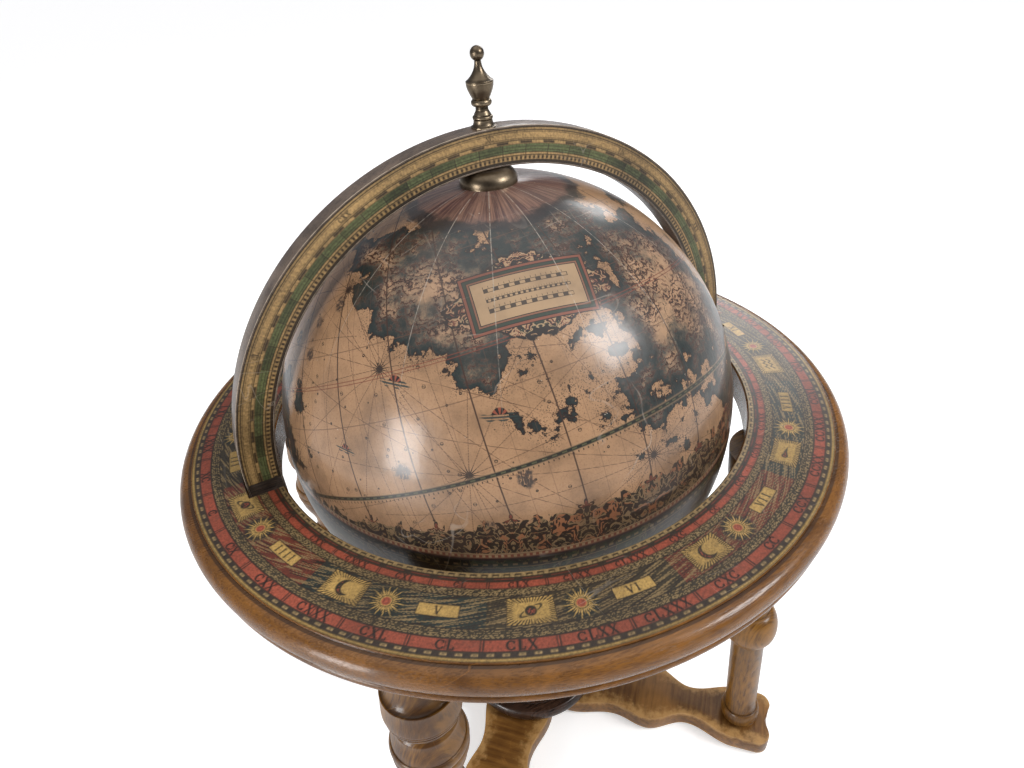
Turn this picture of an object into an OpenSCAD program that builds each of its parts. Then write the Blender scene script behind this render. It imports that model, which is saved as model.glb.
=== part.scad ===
// Globe on a four-legged stand. The upper half of the globe is a lid that carries the
// meridian arch and swings up about a hinge at the back. The lower half is a bowl on a
// turned column, with a lift-out rack for a bottle and glasses.
// Millimetres. The floor is z = 0, the column stands on the z axis, the front is -y.

/* [Globe] */
// Outer radius of the globe
globe_r = 137; // [130:0.5:144]
// Wall thickness of the bowl and the lid
shell_t = 4; // [3:0.5:5]
// Height of the hoops inside the two mouths
band_h = 14; // [12:0.5:18]
// Width of the hoops inside the two mouths
band_w = 12; // [11:0.5:14]

/* [Horizon ring] */
// Clear gap between the globe and the ring
ring_gap = 8.6; // [8.4:0.2:11]
// Width of the ring from its hole to the edge of the rim
ring_w = 54.4; // [52:0.2:60]
// Thickness of the ring
ring_t = 20; // [18:0.5:26]
// Height of the ring's top above the floor
ring_top_z = 316; // [300:1:340]
// Height of the ring's top above the globe's seam
ring_rise = 2.7; // [2:0.1:3]
// Width of the printed sheet from the hole outwards
print_w = 45.8; // [43:0.2:46]
// Thickness of the printed sheet
print_t = 0.6; // [0.4:0.1:1]

/* [Meridian arch] */
// Gap between the globe and the inside of the arch
arch_gap = 7.3; // [6:0.1:8]
// Width of the arch across its printed face
arch_w = 19.7; // [18:0.1:22]
// Thickness of the arch
arch_t = 12.6; // [12:0.1:14]
// Depth of the arch's feet below the ring's top
foot_depth = 12; // [8:0.5:16]
// Space in the notch before the arch's foot
notch_front = 9; // [6:0.5:10]
// Space in the notch behind the arch's foot and at its outer end
notch_side = 1; // [0.6:0.1:1.4]
// Thickness of the printed scale on each face of the arch
scale_t = 0.4; // [0.3:0.1:0.6]
// Bare margin on each side of the printed scale
scale_margin = 0.8; // [0.6:0.1:1.2]

/* [Cap and finial] */
// Radius of the brass cap on the pole
cap_r = 15.4; // [13:0.1:18]
// Diameter of the finial's base
finial_base_d = 12.8; // [11:0.1:13]
// Diameter of the finial's urn
urn_d = 13.6; // [11:0.1:15]
// Diameter of the finial's ball
ball_d = 6.9; // [6:0.1:8]
// Height of the finial
finial_h = 37; // [34:0.5:44]
// Diameter of the rod through the pole
rod_d = 5; // [4:0.1:5.2]

/* [Hinge] */
// Length of the hinge
hinge_w = 40; // [36:1:44]
// Diameter of the hinge's knuckles
knuckle_d = 6; // [5.6:0.1:6.2]
// Diameter of the hinge pin
pin_d = 2.6; // [2.2:0.1:3]
// Thickness of the hinge's leaves
leaf_t = 1.2; // [1:0.1:1.4]
// Diameter of the hinge screws
hinge_screw_d = 2.6; // [2.2:0.1:3]

/* [Legs] */
// Distance from the ring's edge in to a leg's axis
leg_set_in = 39; // [36:0.5:42]
// How much further out a leg's axis is at its foot
leg_splay = 14.5; // [9:0.5:20]
// Diameter of a leg's capital and bulb
leg_d = 43; // [38:0.5:46]
// Diameter of a leg's ball
leg_ball_d = 37; // [32:0.5:40]
// Diameter of a leg's shaft
shaft_d = 23; // [20:0.5:26]
// Diameter of a leg's foot ring
leg_foot_d = 29; // [26:0.5:32]
// Height of a leg's ball
leg_ball_h = 31; // [28:0.5:34]
// Height of the taper between a leg's ball and its bulb
leg_taper_h = 35; // [32:0.5:40]
// Height of a leg's bulb with its neck
leg_bulb_h = 40; // [36:0.5:44]
// Height of a leg's capital with its hollow top
leg_capital_h = 68; // [64:0.5:74]
// Diameter of the dowels between the legs and the ring
dowel_d = 10; // [8:0.5:12]
// Depth of a dowel's hole in the ring
dowel_in_ring = 12; // [10:0.5:13]
// Depth of a dowel's hole in a leg
dowel_in_leg = 22; // [18:0.5:30]
// Diameter of the screws that hold the legs
leg_screw_d = 6; // [5:0.5:7]
// Reach of a leg's screw into the leg
leg_screw_bite = 24; // [18:1:32]

/* [Stretcher] */
// Thickness of the stretcher boards
board_t = 16; // [14:0.5:20]
// Reach of a board beyond the foot of a leg
board_end = 23.5; // [20:0.5:26]
// Half width of a board at the crossing
board_root = 28; // [26:0.5:30]
// Half width of a board at its waist
board_waist = 20.5; // [18:0.5:23]
// Half width of a board at its belly
board_belly = 25.5; // [24:0.5:28]
// Half width of a board at its neck
board_neck = 12.5; // [11:0.5:16]
// Half width of a board at its end
board_lobe = 22; // [20:0.5:24]
// Depth of the dip between the two ears at a board's end
ear_dip = 4; // [2:0.5:5]
// Thickness of the felt pads
pad_t = 3; // [2:0.5:4]
// Diameter of the felt pads
pad_d = 30; // [24:1:34]

/* [Column] */
// Radius of the rosette on the crossing
rosette_r = 56; // [50:1:60]
// Height of the rosette
rosette_h = 24; // [20:0.5:28]
// Radius of the column's cup under the bowl
cup_r = 30; // [26:0.5:36]
// Diameter of the column's vase
vase_d = 48; // [42:1:54]
// Diameter of the column's neck
neck_d = 22; // [20:0.5:26]
// Diameter of the column's base
column_base_d = 58; // [52:1:62]
// Diameter of the screws at the column's two ends
column_screw_d = 8; // [6:0.5:9]

/* [Rack] */
// Depth of the rack's top plate below the seam
rack_depth = 24; // [20:0.5:30]
// Depth of the rack's floor below the seam
rack_floor_depth = 74; // [66:1:80]
// Thickness of the rack's two plates
rack_t = 6; // [5:0.5:8]
// Diameter of the bottle's hole
bottle_d = 74; // [66:1:80]
// Diameter of the glass holes
glass_d = 50; // [44:1:54]
// Number of glass holes
glass_count = 4; // [3:1:4]
// Distance from the middle to a glass hole
glass_r = 74; // [71:0.5:76]
// Distance from the middle to a post between the two plates
post_r = 75; // [72:0.5:80]
// Diameter of the posts
post_d = 8; // [6:0.5:9]
// Height of the bead at each end of a post
post_bead_h = 6; // [4:0.5:8]

/* [Hidden] */
$fn = 72;

// Clearances
glue = 0.05;
fit = 0.1;
eps = 0.01;
far = 1000;

// Colours
wood_dark = [0.26, 0.15, 0.08];
wood_warm = [0.45, 0.28, 0.12];
wood_ring = [0.48, 0.29, 0.15];
aged_brass = [0.36, 0.31, 0.24];
steel = [0.6, 0.6, 0.62];

// Heights
board_z = pad_t;
board_top = board_z + board_t;
ring_z = ring_top_z - ring_t;
seam_z = ring_top_z - ring_rise;
bowl_bottom_z = seam_z - globe_r;
rosette_top = board_top + rosette_h;

// Radii
inner_r = globe_r - shell_t;
hole_r = globe_r + ring_gap;
rim_r = hole_r + ring_w;
print_r = hole_r + print_w;
arch_in = globe_r + arch_gap;
arch_out = arch_in + arch_w;

// Legs: each one is turned upright, then leant outwards
leg_top_r = rim_r - leg_set_in;
leg_foot_r = leg_top_r + leg_splay;
leg_h = ring_z - board_top;
leg_lean = atan((leg_foot_r - leg_top_r) / leg_h);
leg_len = leg_h / cos(leg_lean);
leg_angles = [-135, -45, 45, 135];
leg_screw_z = board_z + 1;
leg_screw_len = board_t + leg_screw_bite;

// Hinge: its pin lies in the seam's plane, just outside the globe
hinge_y = globe_r + knuckle_d / 2 + 0.6;
knuckle_w = hinge_w / 5;
leaf_depth = shell_t + band_w - 3;
leaf_in = globe_r - leaf_depth;
hinge_screw_y = leaf_in + 4;
hinge_screw_len = band_h - 3;
hinge_screw_x = hinge_w / 2 - 6;

// Pole: rod, block and nut inside the lid
block_r = 20;
block_z = seam_z + sqrt(inner_r * inner_r - block_r * block_r) - 6;
washer_t = 1.6;
nut_h = 4.5;
rod_top = seam_z + arch_out + 10;
rod_bottom = block_z - washer_t - nut_h - 2;

// ---------- Outline helpers: lists of [radius, height] points ----------

// Half ellipse between two heights that swells by "rise", or hollows where it is negative
function bead(z0, z1, r, rise, n = 8) = [
  for (i = [0:n]) [r + rise * sin(180 * i / n), z0 + (z1 - z0) * (1 - cos(180 * i / n)) / 2]
];

// Soft step between two numbers, as u goes from 0 to 1
function ease(a, b, u) = a + (b - a) * (1 - cos(180 * u)) / 2;

// S-shaped run from one radius to another
function run(z0, z1, r0, r1, n = 6) = [for (i = [0:n]) [ease(r0, r1, i / n), z0 + (z1 - z0) * i / n]];

// Quarter of an ellipse from [r0, z0] to [r1, z1], level at its start
function shoulder(z0, z1, r0, r1, n = 6) = [
  for (i = [0:n]) [r0 + (r1 - r0) * sin(90 * i / n), z1 + (z0 - z1) * cos(90 * i / n)]
];

// The same list without points that repeat the one before
function clean(p) = [for (i = [0:len(p) - 1]) if (i == 0 || norm(p[i] - p[max(i - 1, 0)]) > 0.02) p[i]];

// A solid turned on a lathe from an outline that runs upwards
module turned(outline) {
  p = clean(outline);
  rotate_extrude() polygon(concat([[0, p[0][1]]], p, [[0, p[len(p) - 1][1]]]));
}

// ---------- Shared parts ----------

// Wood screw along +z: countersunk head at z = 0, point upwards
module countersunk(d, length) {
  cylinder(r1 = d, r2 = d / 2, h = d / 2);
  cylinder(d = d, h = length - d);
  translate([0, 0, length - d]) cylinder(r1 = d / 2, r2 = d / 8, h = d);
}

// Room for the same screw
module countersunk_hole(d, length) {
  translate([0, 0, -1]) cylinder(r = d + fit, h = 1 + eps);
  cylinder(r1 = d + fit, r2 = d / 2, h = d / 2 + fit);
  cylinder(d = d + 2 * glue, h = length + 1);
}

// ---------- Stretcher ----------

// Half width of a board at distance s from the crossing: waves between these stations
stations = [
  [0, board_root],
  [board_root + 12, board_root],
  [leg_foot_r * 0.44, board_waist],
  [leg_foot_r * 0.59, board_belly],
  [leg_foot_r * 0.775, board_neck],
  [leg_foot_r * 0.985, board_lobe]
];

function half_width(s, k = 1) =
  s <= stations[k][0] || k == len(stations) - 1
    ? ease(stations[k - 1][1], stations[k][1],
           min(1, (s - stations[k - 1][0]) / (stations[k][0] - stations[k - 1][0])))
    : half_width(s, k + 1);

board_tip = leg_foot_r + board_end;
lobe_s = stations[len(stations) - 1][0];
ear_r = 9;

// One half of a board's outline, from the middle of one side round its end to the other side
side = [for (i = [0:34]) [lobe_s * i / 34, half_width(lobe_s * i / 34)]];
ear = [
  for (a = [90:-18:0]) [board_tip - ear_r + ear_r * cos(a), board_lobe - ear_r + ear_r * sin(a)]
];
dip = [
  for (i = [1:5]) let(y = (board_lobe - ear_r) * (1 - i / 5))
    [board_tip - ease(0, ear_dip, i / 5), y]
];
quarter = concat(side, ear, dip);

function flip_y(p) = [for (i = [len(p) - 1:-1:0]) [p[i][0], -p[i][1]]];
function flip_x(p) = [for (i = [len(p) - 1:-1:0]) [-p[i][0], p[i][1]]];
half = concat(quarter, flip_y(quarter));
board_outline = clean(concat(half, flip_x(half)));

// A board along x with its screw holes, without the half lap
module board() {
  difference() {
    translate([0, 0, board_z]) linear_extrude(board_t) polygon(board_outline);
    translate([0, 0, board_z - 1]) cylinder(d = column_screw_d + 2 * fit, h = board_t + 2);
    for (m = [-1, 1]) {
      translate([m * leg_foot_r, 0, leg_screw_z]) countersunk_hole(leg_screw_d, leg_screw_len);
    }
  }
}

// Room for the other board at the crossing, from the board's middle up or down
module half_lap(z) {
  translate([-board_root - fit, -far / 2, z]) cube([2 * board_root + 2 * fit, far, far]);
}

module stretcher_lower() {
  color(wood_warm) rotate([0, 0, -45]) difference() {
    board();
    half_lap(board_z + board_t / 2);
    translate([0, 0, board_z - 1]) cylinder(r = washer_r + 1, h = counterbore_h + 1);
  }
}

module stretcher_upper() {
  color(wood_warm) rotate([0, 0, 45]) difference() {
    board();
    half_lap(board_z + board_t / 2 - far);
  }
}

module felt_pads() {
  color([0.12, 0.2, 0.14]) for (a = leg_angles) {
    rotate([0, 0, a]) translate([leg_foot_r, 0, 0]) cylinder(d = pad_d, h = pad_t);
  }
}

// ---------- Legs ----------

// Heights on a leg: the foot is measured from the bottom, the rest from the top
foot_top = 15;
capital_z = leg_len - leg_capital_h;
bulb_z = capital_z - leg_bulb_h;
ball_top = bulb_z - leg_taper_h;
shaft_end = ball_top - leg_ball_h;
collar_z = capital_z - 17;
hollow_z = capital_z + 18;
hollow_end = leg_len - 18;

leg_outline = concat(
  [[leg_foot_d / 2 - 2, -6], [leg_foot_d / 2 - 2, 2]],
  bead(2, foot_top, leg_foot_d / 2 - 2, 2),
  run(foot_top, foot_top + 9, leg_foot_d / 2 - 2.6, shaft_d / 2, 5),
  [[shaft_d / 2, shaft_end - 2]],
  [[shaft_d / 2 + 1.4, shaft_end - 2], [shaft_d / 2 + 1.4, shaft_end]],
  bead(shaft_end, ball_top, shaft_d / 2, leg_ball_d / 2 - shaft_d / 2, 14),
  run(ball_top + 1, ball_top + 8, shaft_d / 2, shaft_d / 2 + 1.5, 3),
  run(ball_top + 8, bulb_z + 2, shaft_d / 2 + 1.5, leg_d / 2 - 1, 9),
  bead(bulb_z + 2, bulb_z + 8, leg_d / 2 - 1, 1.2, 6),
  bead(bulb_z + 8, bulb_z + 15, leg_d / 2 - 1, 1.6, 6),
  run(bulb_z + 15, collar_z + 6, leg_d / 2 - 1, leg_d / 2 - 3.5, 5),
  run(collar_z + 8, capital_z, leg_d / 2 - 5, leg_d / 2 - 0.6, 5),
  bead(capital_z, capital_z + 3, leg_d / 2 - 1.4, 1, 5),
  run(capital_z + 3, hollow_z, leg_d / 2, leg_d / 2 - 1, 4),
  bead(hollow_z, hollow_end, leg_d / 2 - 1, -6, 10),
  [[leg_d / 2 + 1.5, hollow_end], [leg_d / 2 + 1.5, leg_len + 6]]
);

// A leg on the +x side: leant outwards, cut level at both ends, drilled top and bottom
module leg() {
  color(wood_warm) difference() {
    translate([leg_foot_r, 0, board_top]) rotate([0, -leg_lean, 0]) turned(leg_outline);
    translate([-far / 2, -far / 2, board_top - far]) cube(far);
    translate([-far / 2, -far / 2, ring_z]) cube(far);
    translate([leg_top_r, 0, ring_z - dowel_in_leg]) cylinder(d = dowel_d + 2 * glue, h = far);
    translate([leg_foot_r, 0, board_top - 1])
      cylinder(d = leg_screw_d + 2 * glue, h = leg_screw_bite + 3);
  }
}

module leg_front_left() rotate([0, 0, -135]) leg();
module leg_front_right() rotate([0, 0, -45]) leg();
module leg_back_right() rotate([0, 0, 45]) leg();
module leg_back_left() rotate([0, 0, 135]) leg();

module leg_screws() {
  color(steel) for (a = leg_angles) {
    rotate([0, 0, a]) translate([leg_foot_r, 0, leg_screw_z])
      countersunk(leg_screw_d, leg_screw_len);
  }
}

module ring_dowels() {
  color(wood_warm) for (a = leg_angles) {
    rotate([0, 0, a]) translate([leg_top_r, 0, ring_z - dowel_in_leg + 1])
      cylinder(d = dowel_d, h = dowel_in_leg + dowel_in_ring - 2);
  }
}

// ---------- Column ----------

rosette_outline = concat(
  [[rosette_r - 3, 0], [rosette_r - 3, 1]],
  bead(1, rosette_h * 0.5, rosette_r - 3, 3, 10),
  [[rosette_r - 8, rosette_h * 0.5]],
  bead(rosette_h * 0.5, rosette_h * 0.62, rosette_r - 8, -2, 4),
  bead(rosette_h * 0.62, rosette_h, rosette_r - 16, 5, 10),
  [[column_base_d / 2 - 2, rosette_h]]
);

module hub_rosette() {
  color(wood_dark) difference() {
    translate([0, 0, board_top]) turned(rosette_outline);
    translate([0, 0, board_top - 1]) cylinder(d = column_screw_d + 2 * fit, h = rosette_h + 2);
  }
}

column_len = bowl_bottom_z - rosette_top;
cup_z = column_len - 26;
base_top = 12;
neck_z = 26;
vase_z = neck_z + 26;
column_outline = concat(
  [[column_base_d / 2, 0], [column_base_d / 2, 3]],
  bead(3, base_top, column_base_d / 2 - 3, 3, 8),
  run(base_top, neck_z, column_base_d / 2 - 4, neck_d / 2 + 1, 7),
  bead(neck_z, neck_z + 5, neck_d / 2 + 1, 2.5, 6),
  run(neck_z + 5, vase_z, neck_d / 2 + 1, vase_d / 2, 8),
  run(vase_z, cup_z - 10, vase_d / 2, neck_d / 2, 12),
  bead(cup_z - 10, cup_z - 4, neck_d / 2, 3, 6),
  run(cup_z - 4, cup_z + 16, neck_d / 2 + 1, cup_r - 2, 8),
  bead(cup_z + 16, cup_z + 26, cup_r - 2, 2, 8),
  [[cup_r - 2, cup_z + 32]]
);
column_screw_in = 40;

module column() {
  color(wood_dark) difference() {
    translate([0, 0, rosette_top]) turned(column_outline);
    translate([0, 0, seam_z]) sphere(r = globe_r + glue, $fn = 144);
    translate([0, 0, rosette_top - 1]) cylinder(d = column_screw_d + 2 * glue, h = column_screw_in + 2);
    translate([0, 0, bowl_bottom_z - column_screw_in]) cylinder(d = column_screw_d + 2 * glue, h = far);
  }
}

washer_r = column_screw_d * 1.5;
column_head_h = 2.2;
counterbore_h = column_head_h + washer_t + 0.2;

// Flat washer with its underside at z = 0
module washer(r, hole_d, t) {
  difference() {
    cylinder(r = r, h = t);
    translate([0, 0, -1]) cylinder(d = hole_d + 2 * fit, h = t + 2);
  }
}

module column_washer() {
  color(steel) translate([0, 0, board_z + counterbore_h - washer_t])
    washer(washer_r, column_screw_d, washer_t);
}

// The head hangs below the washer, inside the counterbore
module column_screw() {
  head_z = board_z + counterbore_h - washer_t - column_head_h;
  color(steel) {
    translate([0, 0, head_z]) cylinder(r = column_screw_d * 0.8, h = column_head_h);
    translate([0, 0, head_z]) cylinder(d = column_screw_d, h = rosette_top + column_screw_in - head_z);
  }
}

// ---------- Horizon ring ----------

// Outline of the ring's section, anticlockwise from the bottom of the hole
rim_roll_r = 7.2;
ring_section = concat(
  [[hole_r + 1, 0], [rim_r - 6, 0]],
  [for (a = [-75:15:60]) [rim_r - 4.4 + 2.6 * cos(a), 2.6 + 2.6 * sin(a)]],
  [for (a = [-65:9:61]) [rim_r - rim_roll_r + rim_roll_r * cos(a), ring_t * 0.58 + 7.6 * sin(a)]],
  [[rim_r - 5.2, ring_t - 1], [print_r + 0.8, ring_t - 1]],
  [[print_r + 0.4, ring_t], [print_r + glue, ring_t]],
  [[print_r + glue, ring_t - print_t], [hole_r + 0.6, ring_t - print_t], [hole_r, ring_t - print_t - 0.6]],
  [[hole_r, 1]]
);

// The two notches that the arch's feet drop into
module notches() {
  front = arch_t / 2 + notch_front;
  for (m = [0, 1]) mirror([m, 0, 0])
    translate([hole_r - 10, -front, ring_z - 1])
      cube([arch_out + notch_side - hole_r + 10, front + arch_t / 2 + notch_side, ring_t + 2]);
}

module horizon_ring() {
  color(wood_ring) difference() {
    translate([0, 0, ring_z]) rotate_extrude($fn = 144) polygon(clean(ring_section));
    notches();
    for (a = leg_angles) rotate([0, 0, a]) translate([leg_top_r, 0, ring_z - 1])
      cylinder(d = dowel_d + 2 * glue, h = dowel_in_ring + 1);
  }
}

module horizon_print() {
  color([0.5, 0.22, 0.16]) difference() {
    translate([0, 0, ring_top_z - print_t]) cylinder(r = print_r, h = print_t, $fn = 144);
    translate([0, 0, ring_z]) cylinder(r = hole_r + 0.8, h = ring_t + 1, $fn = 144);
    notches();
  }
}

// ---------- Globe ----------

// Half of a hollow ball: up = 1 is the lid, up = -1 the bowl
module half_ball(up) {
  translate([0, 0, seam_z]) difference() {
    sphere(r = globe_r, $fn = 144);
    sphere(r = inner_r, $fn = 144);
    translate([-far / 2, -far / 2, up > 0 ? -far : 0]) cube(far);
  }
}

// Hoop inside a mouth, against the shell
module rim_band(up) {
  translate([0, 0, seam_z]) difference() {
    sphere(r = inner_r - glue, $fn = 144);
    cylinder(r = inner_r - band_w, h = 3 * globe_r, center = true, $fn = 144);
    translate([-far / 2, -far / 2, up > 0 ? -far : 0]) cube(far);
    translate([-far / 2, -far / 2, up > 0 ? band_h : -band_h - far]) cube(far);
  }
}

// Room for a hinge leaf in the shell and the hoop
module leaf_bed(up) {
  bed = leaf_t + glue;
  translate([-hinge_w / 2 - fit, leaf_in - fit, up > 0 ? seam_z - 1 : seam_z - bed])
    cube([hinge_w + 2 * fit, far, bed + 1]);
}

module hinge_screw_places() {
  for (x = [-hinge_screw_x, 0, hinge_screw_x]) translate([x, hinge_screw_y, seam_z]) children();
}

module bowl_shell() {
  color([0.2, 0.19, 0.14]) difference() {
    half_ball(-1);
    leaf_bed(-1);
    translate([0, 0, bowl_bottom_z - 1]) cylinder(d = column_screw_d + 2 * fit, h = shell_t + 2);
  }
}

module bowl_rim_band() {
  color(wood_warm) difference() {
    rim_band(-1);
    leaf_bed(-1);
    hinge_screw_places() mirror([0, 0, 1]) translate([0, 0, glue])
      countersunk_hole(hinge_screw_d, hinge_screw_len);
  }
}

module lid_shell() {
  color([0.66, 0.5, 0.33]) difference() {
    half_ball(1);
    leaf_bed(1);
    translate([0, 0, seam_z]) cylinder(d = rod_d + 2 * fit, h = far);
  }
}

module lid_rim_band() {
  color(wood_warm) difference() {
    rim_band(1);
    leaf_bed(1);
    hinge_screw_places() translate([0, 0, glue]) countersunk_hole(hinge_screw_d, hinge_screw_len);
  }
}

// A flat washer rests on its edge where the bowl's bottom curves up to meet it
bowl_washer_z = seam_z - sqrt(inner_r * inner_r - washer_r * washer_r) + glue;

module bowl_washer() {
  color(steel) translate([0, 0, bowl_washer_z]) washer(washer_r, column_screw_d, washer_t);
}

module bowl_screw() {
  head_z = bowl_washer_z + washer_t;
  tip_z = bowl_bottom_z - column_screw_in + 2;
  color(steel) {
    translate([0, 0, head_z]) cylinder(r = column_screw_d * 0.8, h = column_head_h);
    translate([0, 0, tip_z]) cylinder(d = column_screw_d, h = head_z - tip_z);
  }
}

// ---------- Rack ----------

// Slab of the bowl's inside, wedged where the bowl narrows
module slab(top_depth, t) {
  intersection() {
    translate([0, 0, seam_z]) sphere(r = inner_r - 0.15, $fn = 144);
    translate([0, 0, seam_z - top_depth - t]) cylinder(r = globe_r, h = t);
  }
}

module glass_places() {
  for (i = [0:glass_count - 1]) rotate([0, 0, 360 * i / glass_count])
    translate([glass_r, 0, 0]) children();
}

module post_places() {
  for (i = [0:glass_count - 1]) rotate([0, 0, 360 * (i + 0.5) / glass_count])
    translate([post_r, 0, 0]) children();
}

module rack_plate() {
  color(wood_warm) difference() {
    slab(rack_depth, rack_t);
    translate([0, 0, seam_z - globe_r]) cylinder(d = bottle_d, h = globe_r);
    glass_places() translate([0, 0, seam_z - globe_r]) cylinder(d = glass_d, h = globe_r);
    post_places() translate([0, 0, seam_z - globe_r]) cylinder(d = post_d / 2 + 2 * glue, h = globe_r);
  }
}

module rack_floor() {
  color(wood_warm) difference() {
    slab(rack_floor_depth, rack_t);
    post_places() translate([0, 0, seam_z - globe_r]) cylinder(d = post_d / 2 + 2 * glue, h = globe_r);
  }
}

// Turned posts, tenoned into both plates
module rack_posts() {
  low = seam_z - rack_floor_depth;
  high = seam_z - rack_depth - rack_t;
  h = high - low;
  post_outline = concat(
    [[post_d / 2, 0]],
    bead(0, post_bead_h, post_d / 2 - 1, 1, 6),
    run(post_bead_h, h / 2, post_d / 2 - 2, post_d / 2, 5),
    run(h / 2, h - post_bead_h, post_d / 2, post_d / 2 - 2, 5),
    bead(h - post_bead_h, h, post_d / 2 - 1, 1, 6)
  );
  color(wood_dark) post_places() {
    translate([0, 0, low]) turned(post_outline);
    translate([0, 0, low - rack_t + 0.5]) cylinder(d = post_d / 2, h = h + 2 * rack_t - 1);
  }
}

// ---------- Hinge ----------

// Knuckle number k, counted along x; the even ones belong to the bowl
module knuckle_space(k, grow) {
  translate([-hinge_w / 2 + k * knuckle_w - grow, hinge_y, seam_z]) rotate([0, 90, 0])
    cylinder(d = knuckle_d + 2 * grow, h = knuckle_w + 2 * grow);
}

// Flat leaf with its own knuckles, cut clear of the other leaf's
module hinge_leaf(up) {
  own = up > 0 ? [1, 3] : [0, 2, 4];
  other = up > 0 ? [0, 2, 4] : [1, 3];
  z = up > 0 ? glue : -leaf_t;
  color(aged_brass) difference() {
    union() {
      translate([-hinge_w / 2, leaf_in, seam_z + z]) cube([hinge_w, hinge_y - leaf_in, leaf_t - glue]);
      for (k = own) knuckle_space(k, 0);
    }
    for (k = other) knuckle_space(k, fit);
    translate([-hinge_w, hinge_y, seam_z]) rotate([0, 90, 0])
      cylinder(d = pin_d + 2 * glue, h = 2 * hinge_w);
    hinge_screw_places() mirror([0, 0, up > 0 ? 0 : 1]) translate([0, 0, glue])
      countersunk_hole(hinge_screw_d, hinge_screw_len);
  }
}

module hinge_leaf_bowl() hinge_leaf(-1);
module hinge_leaf_lid() hinge_leaf(1);

module hinge_pin() {
  color(aged_brass) translate([-hinge_w / 2 - 0.5, hinge_y, seam_z]) rotate([0, 90, 0])
    cylinder(d = pin_d, h = hinge_w + 1);
}

module hinge_screws_bowl() {
  color(aged_brass) hinge_screw_places() mirror([0, 0, 1]) translate([0, 0, 2 * glue])
    countersunk(hinge_screw_d, hinge_screw_len);
}

module hinge_screws_lid() {
  color(aged_brass) hinge_screw_places() translate([0, 0, 2 * glue])
    countersunk(hinge_screw_d, hinge_screw_len);
}

// ---------- Meridian arch ----------

// Half hoop of the given radii and half thickness, standing in the x-z plane
module half_hoop(r_in, r_out, y0, y1) {
  translate([0, 0, seam_z]) intersection() {
    rotate([90, 0, 0]) difference() {
      translate([0, 0, -y1]) cylinder(r = r_out, h = y1 - y0, $fn = 144);
      translate([0, 0, -y1 - 1]) cylinder(r = r_in, h = y1 - y0 + 2, $fn = 144);
    }
    translate([-far / 2, -far / 2, 0]) cube(far);
  }
}

// Straight foot below the seam, on the side given by m
module arch_foot(m, r_in, r_out, y0, y1) {
  drop = foot_depth - ring_rise;
  mirror([m, 0, 0]) translate([r_in, y0, seam_z - drop]) cube([r_out - r_in, y1 - y0, drop + eps]);
}

// The faces are let in where the printed scales lie, above the ring's top
module meridian_arch() {
  half_t = arch_t / 2;
  color([0.38, 0.28, 0.2]) difference() {
    union() {
      half_hoop(arch_in, arch_out, -half_t, half_t);
      for (m = [0, 1]) arch_foot(m, arch_in, arch_out, -half_t, half_t);
    }
    for (s = [-1, 1]) scale_space(s, scale_margin, scale_t, 1);
    translate([0, 0, seam_z]) cylinder(d = rod_d + 2 * fit, h = far);
  }
}

scale_z = ring_top_z + 1;

// Room of a printed scale on the face s; "over" lets it run out of the face
module scale_space(s, margin, t, over) {
  half_t = arch_t / 2;
  y0 = s > 0 ? half_t - t : -half_t - over;
  y1 = s > 0 ? half_t + over : -half_t + t;
  intersection() {
    half_hoop(arch_in + margin, arch_out - margin, y0, y1);
    translate([-far / 2, -far / 2, scale_z]) cube(far);
  }
}

module meridian_scale(s) {
  color([0.42, 0.4, 0.2]) intersection() {
    scale_space(s, scale_margin + glue, scale_t - glue, 0);
    translate([-far / 2, -far / 2, scale_z + glue]) cube(far);
  }
}

module meridian_scale_front() meridian_scale(-1);
module meridian_scale_back() meridian_scale(1);

// ---------- Cap, finial and rod ----------

// Flattened dome between the globe and the arch, hollowed to the globe
module pole_cap() {
  cap_top = arch_in - 0.3;
  cap_low = sqrt(globe_r * globe_r - cap_r * cap_r) - 2;
  color(aged_brass) difference() {
    translate([0, 0, seam_z]) turned(concat(
      [[cap_r, cap_low], [cap_r, cap_low + 3.4]],
      [for (a = [0:9:81]) [cap_r - 7 + 7 * cos(a), cap_low + 3.4 + (cap_top - cap_low - 3.4) * sin(a)]],
      [[cap_r - 8, cap_top]]
    ));
    translate([0, 0, seam_z]) sphere(r = globe_r + glue, $fn = 144);
    translate([0, 0, seam_z]) cylinder(d = rod_d + 2 * fit, h = far);
  }
}

// Heights on the finial: the urn's neck takes up what the other parts leave
urn_low = 13.4;
urn_high = 21.8;
ball_z = finial_h - ball_d / 2;
spire_r = ball_d * 0.24;
finial_outline = concat(
  [[finial_base_d / 2, 0]],
  shoulder(0.6, 3.6, finial_base_d / 2, finial_base_d / 2 - 1.6, 5),
  [[finial_base_d / 2 - 2, 3.8]],
  bead(3.8, 5.6, finial_base_d / 2 - 1.9, 0.7, 5),
  run(5.6, 8.6, finial_base_d / 2 - 2, 3.2, 4),
  run(8.6, 10, 3.2, 3.2, 1),
  bead(10, urn_low, 3.6, 1.6, 7),
  [for (i = [0:6]) [4.2 + (urn_d / 2 - 4.2) * sin(15 * i), urn_low + (urn_high - 0.8 - urn_low) * i / 6]],
  bead(urn_high - 0.8, urn_high, urn_d / 2 - 0.3, 0.3, 4),
  [for (i = [1:8]) [spire_r + (urn_d / 2 - 0.5 - spire_r) * pow(1 - i / 8, 2.2),
                    urn_high + (ball_z - ball_d / 2 + 0.4 - urn_high) * i / 8]]
);

module finial() {
  color(aged_brass) translate([0, 0, seam_z + arch_out]) difference() {
    union() {
      turned(finial_outline);
      translate([0, 0, ball_z]) sphere(d = ball_d);
    }
    translate([0, 0, -1]) cylinder(d = rod_d + 2 * glue, h = rod_top - seam_z - arch_out + 1.2);
  }
}

module pole_rod() {
  color(steel) translate([0, 0, rod_bottom]) cylinder(d = rod_d, h = rod_top - rod_bottom);
}

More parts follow.
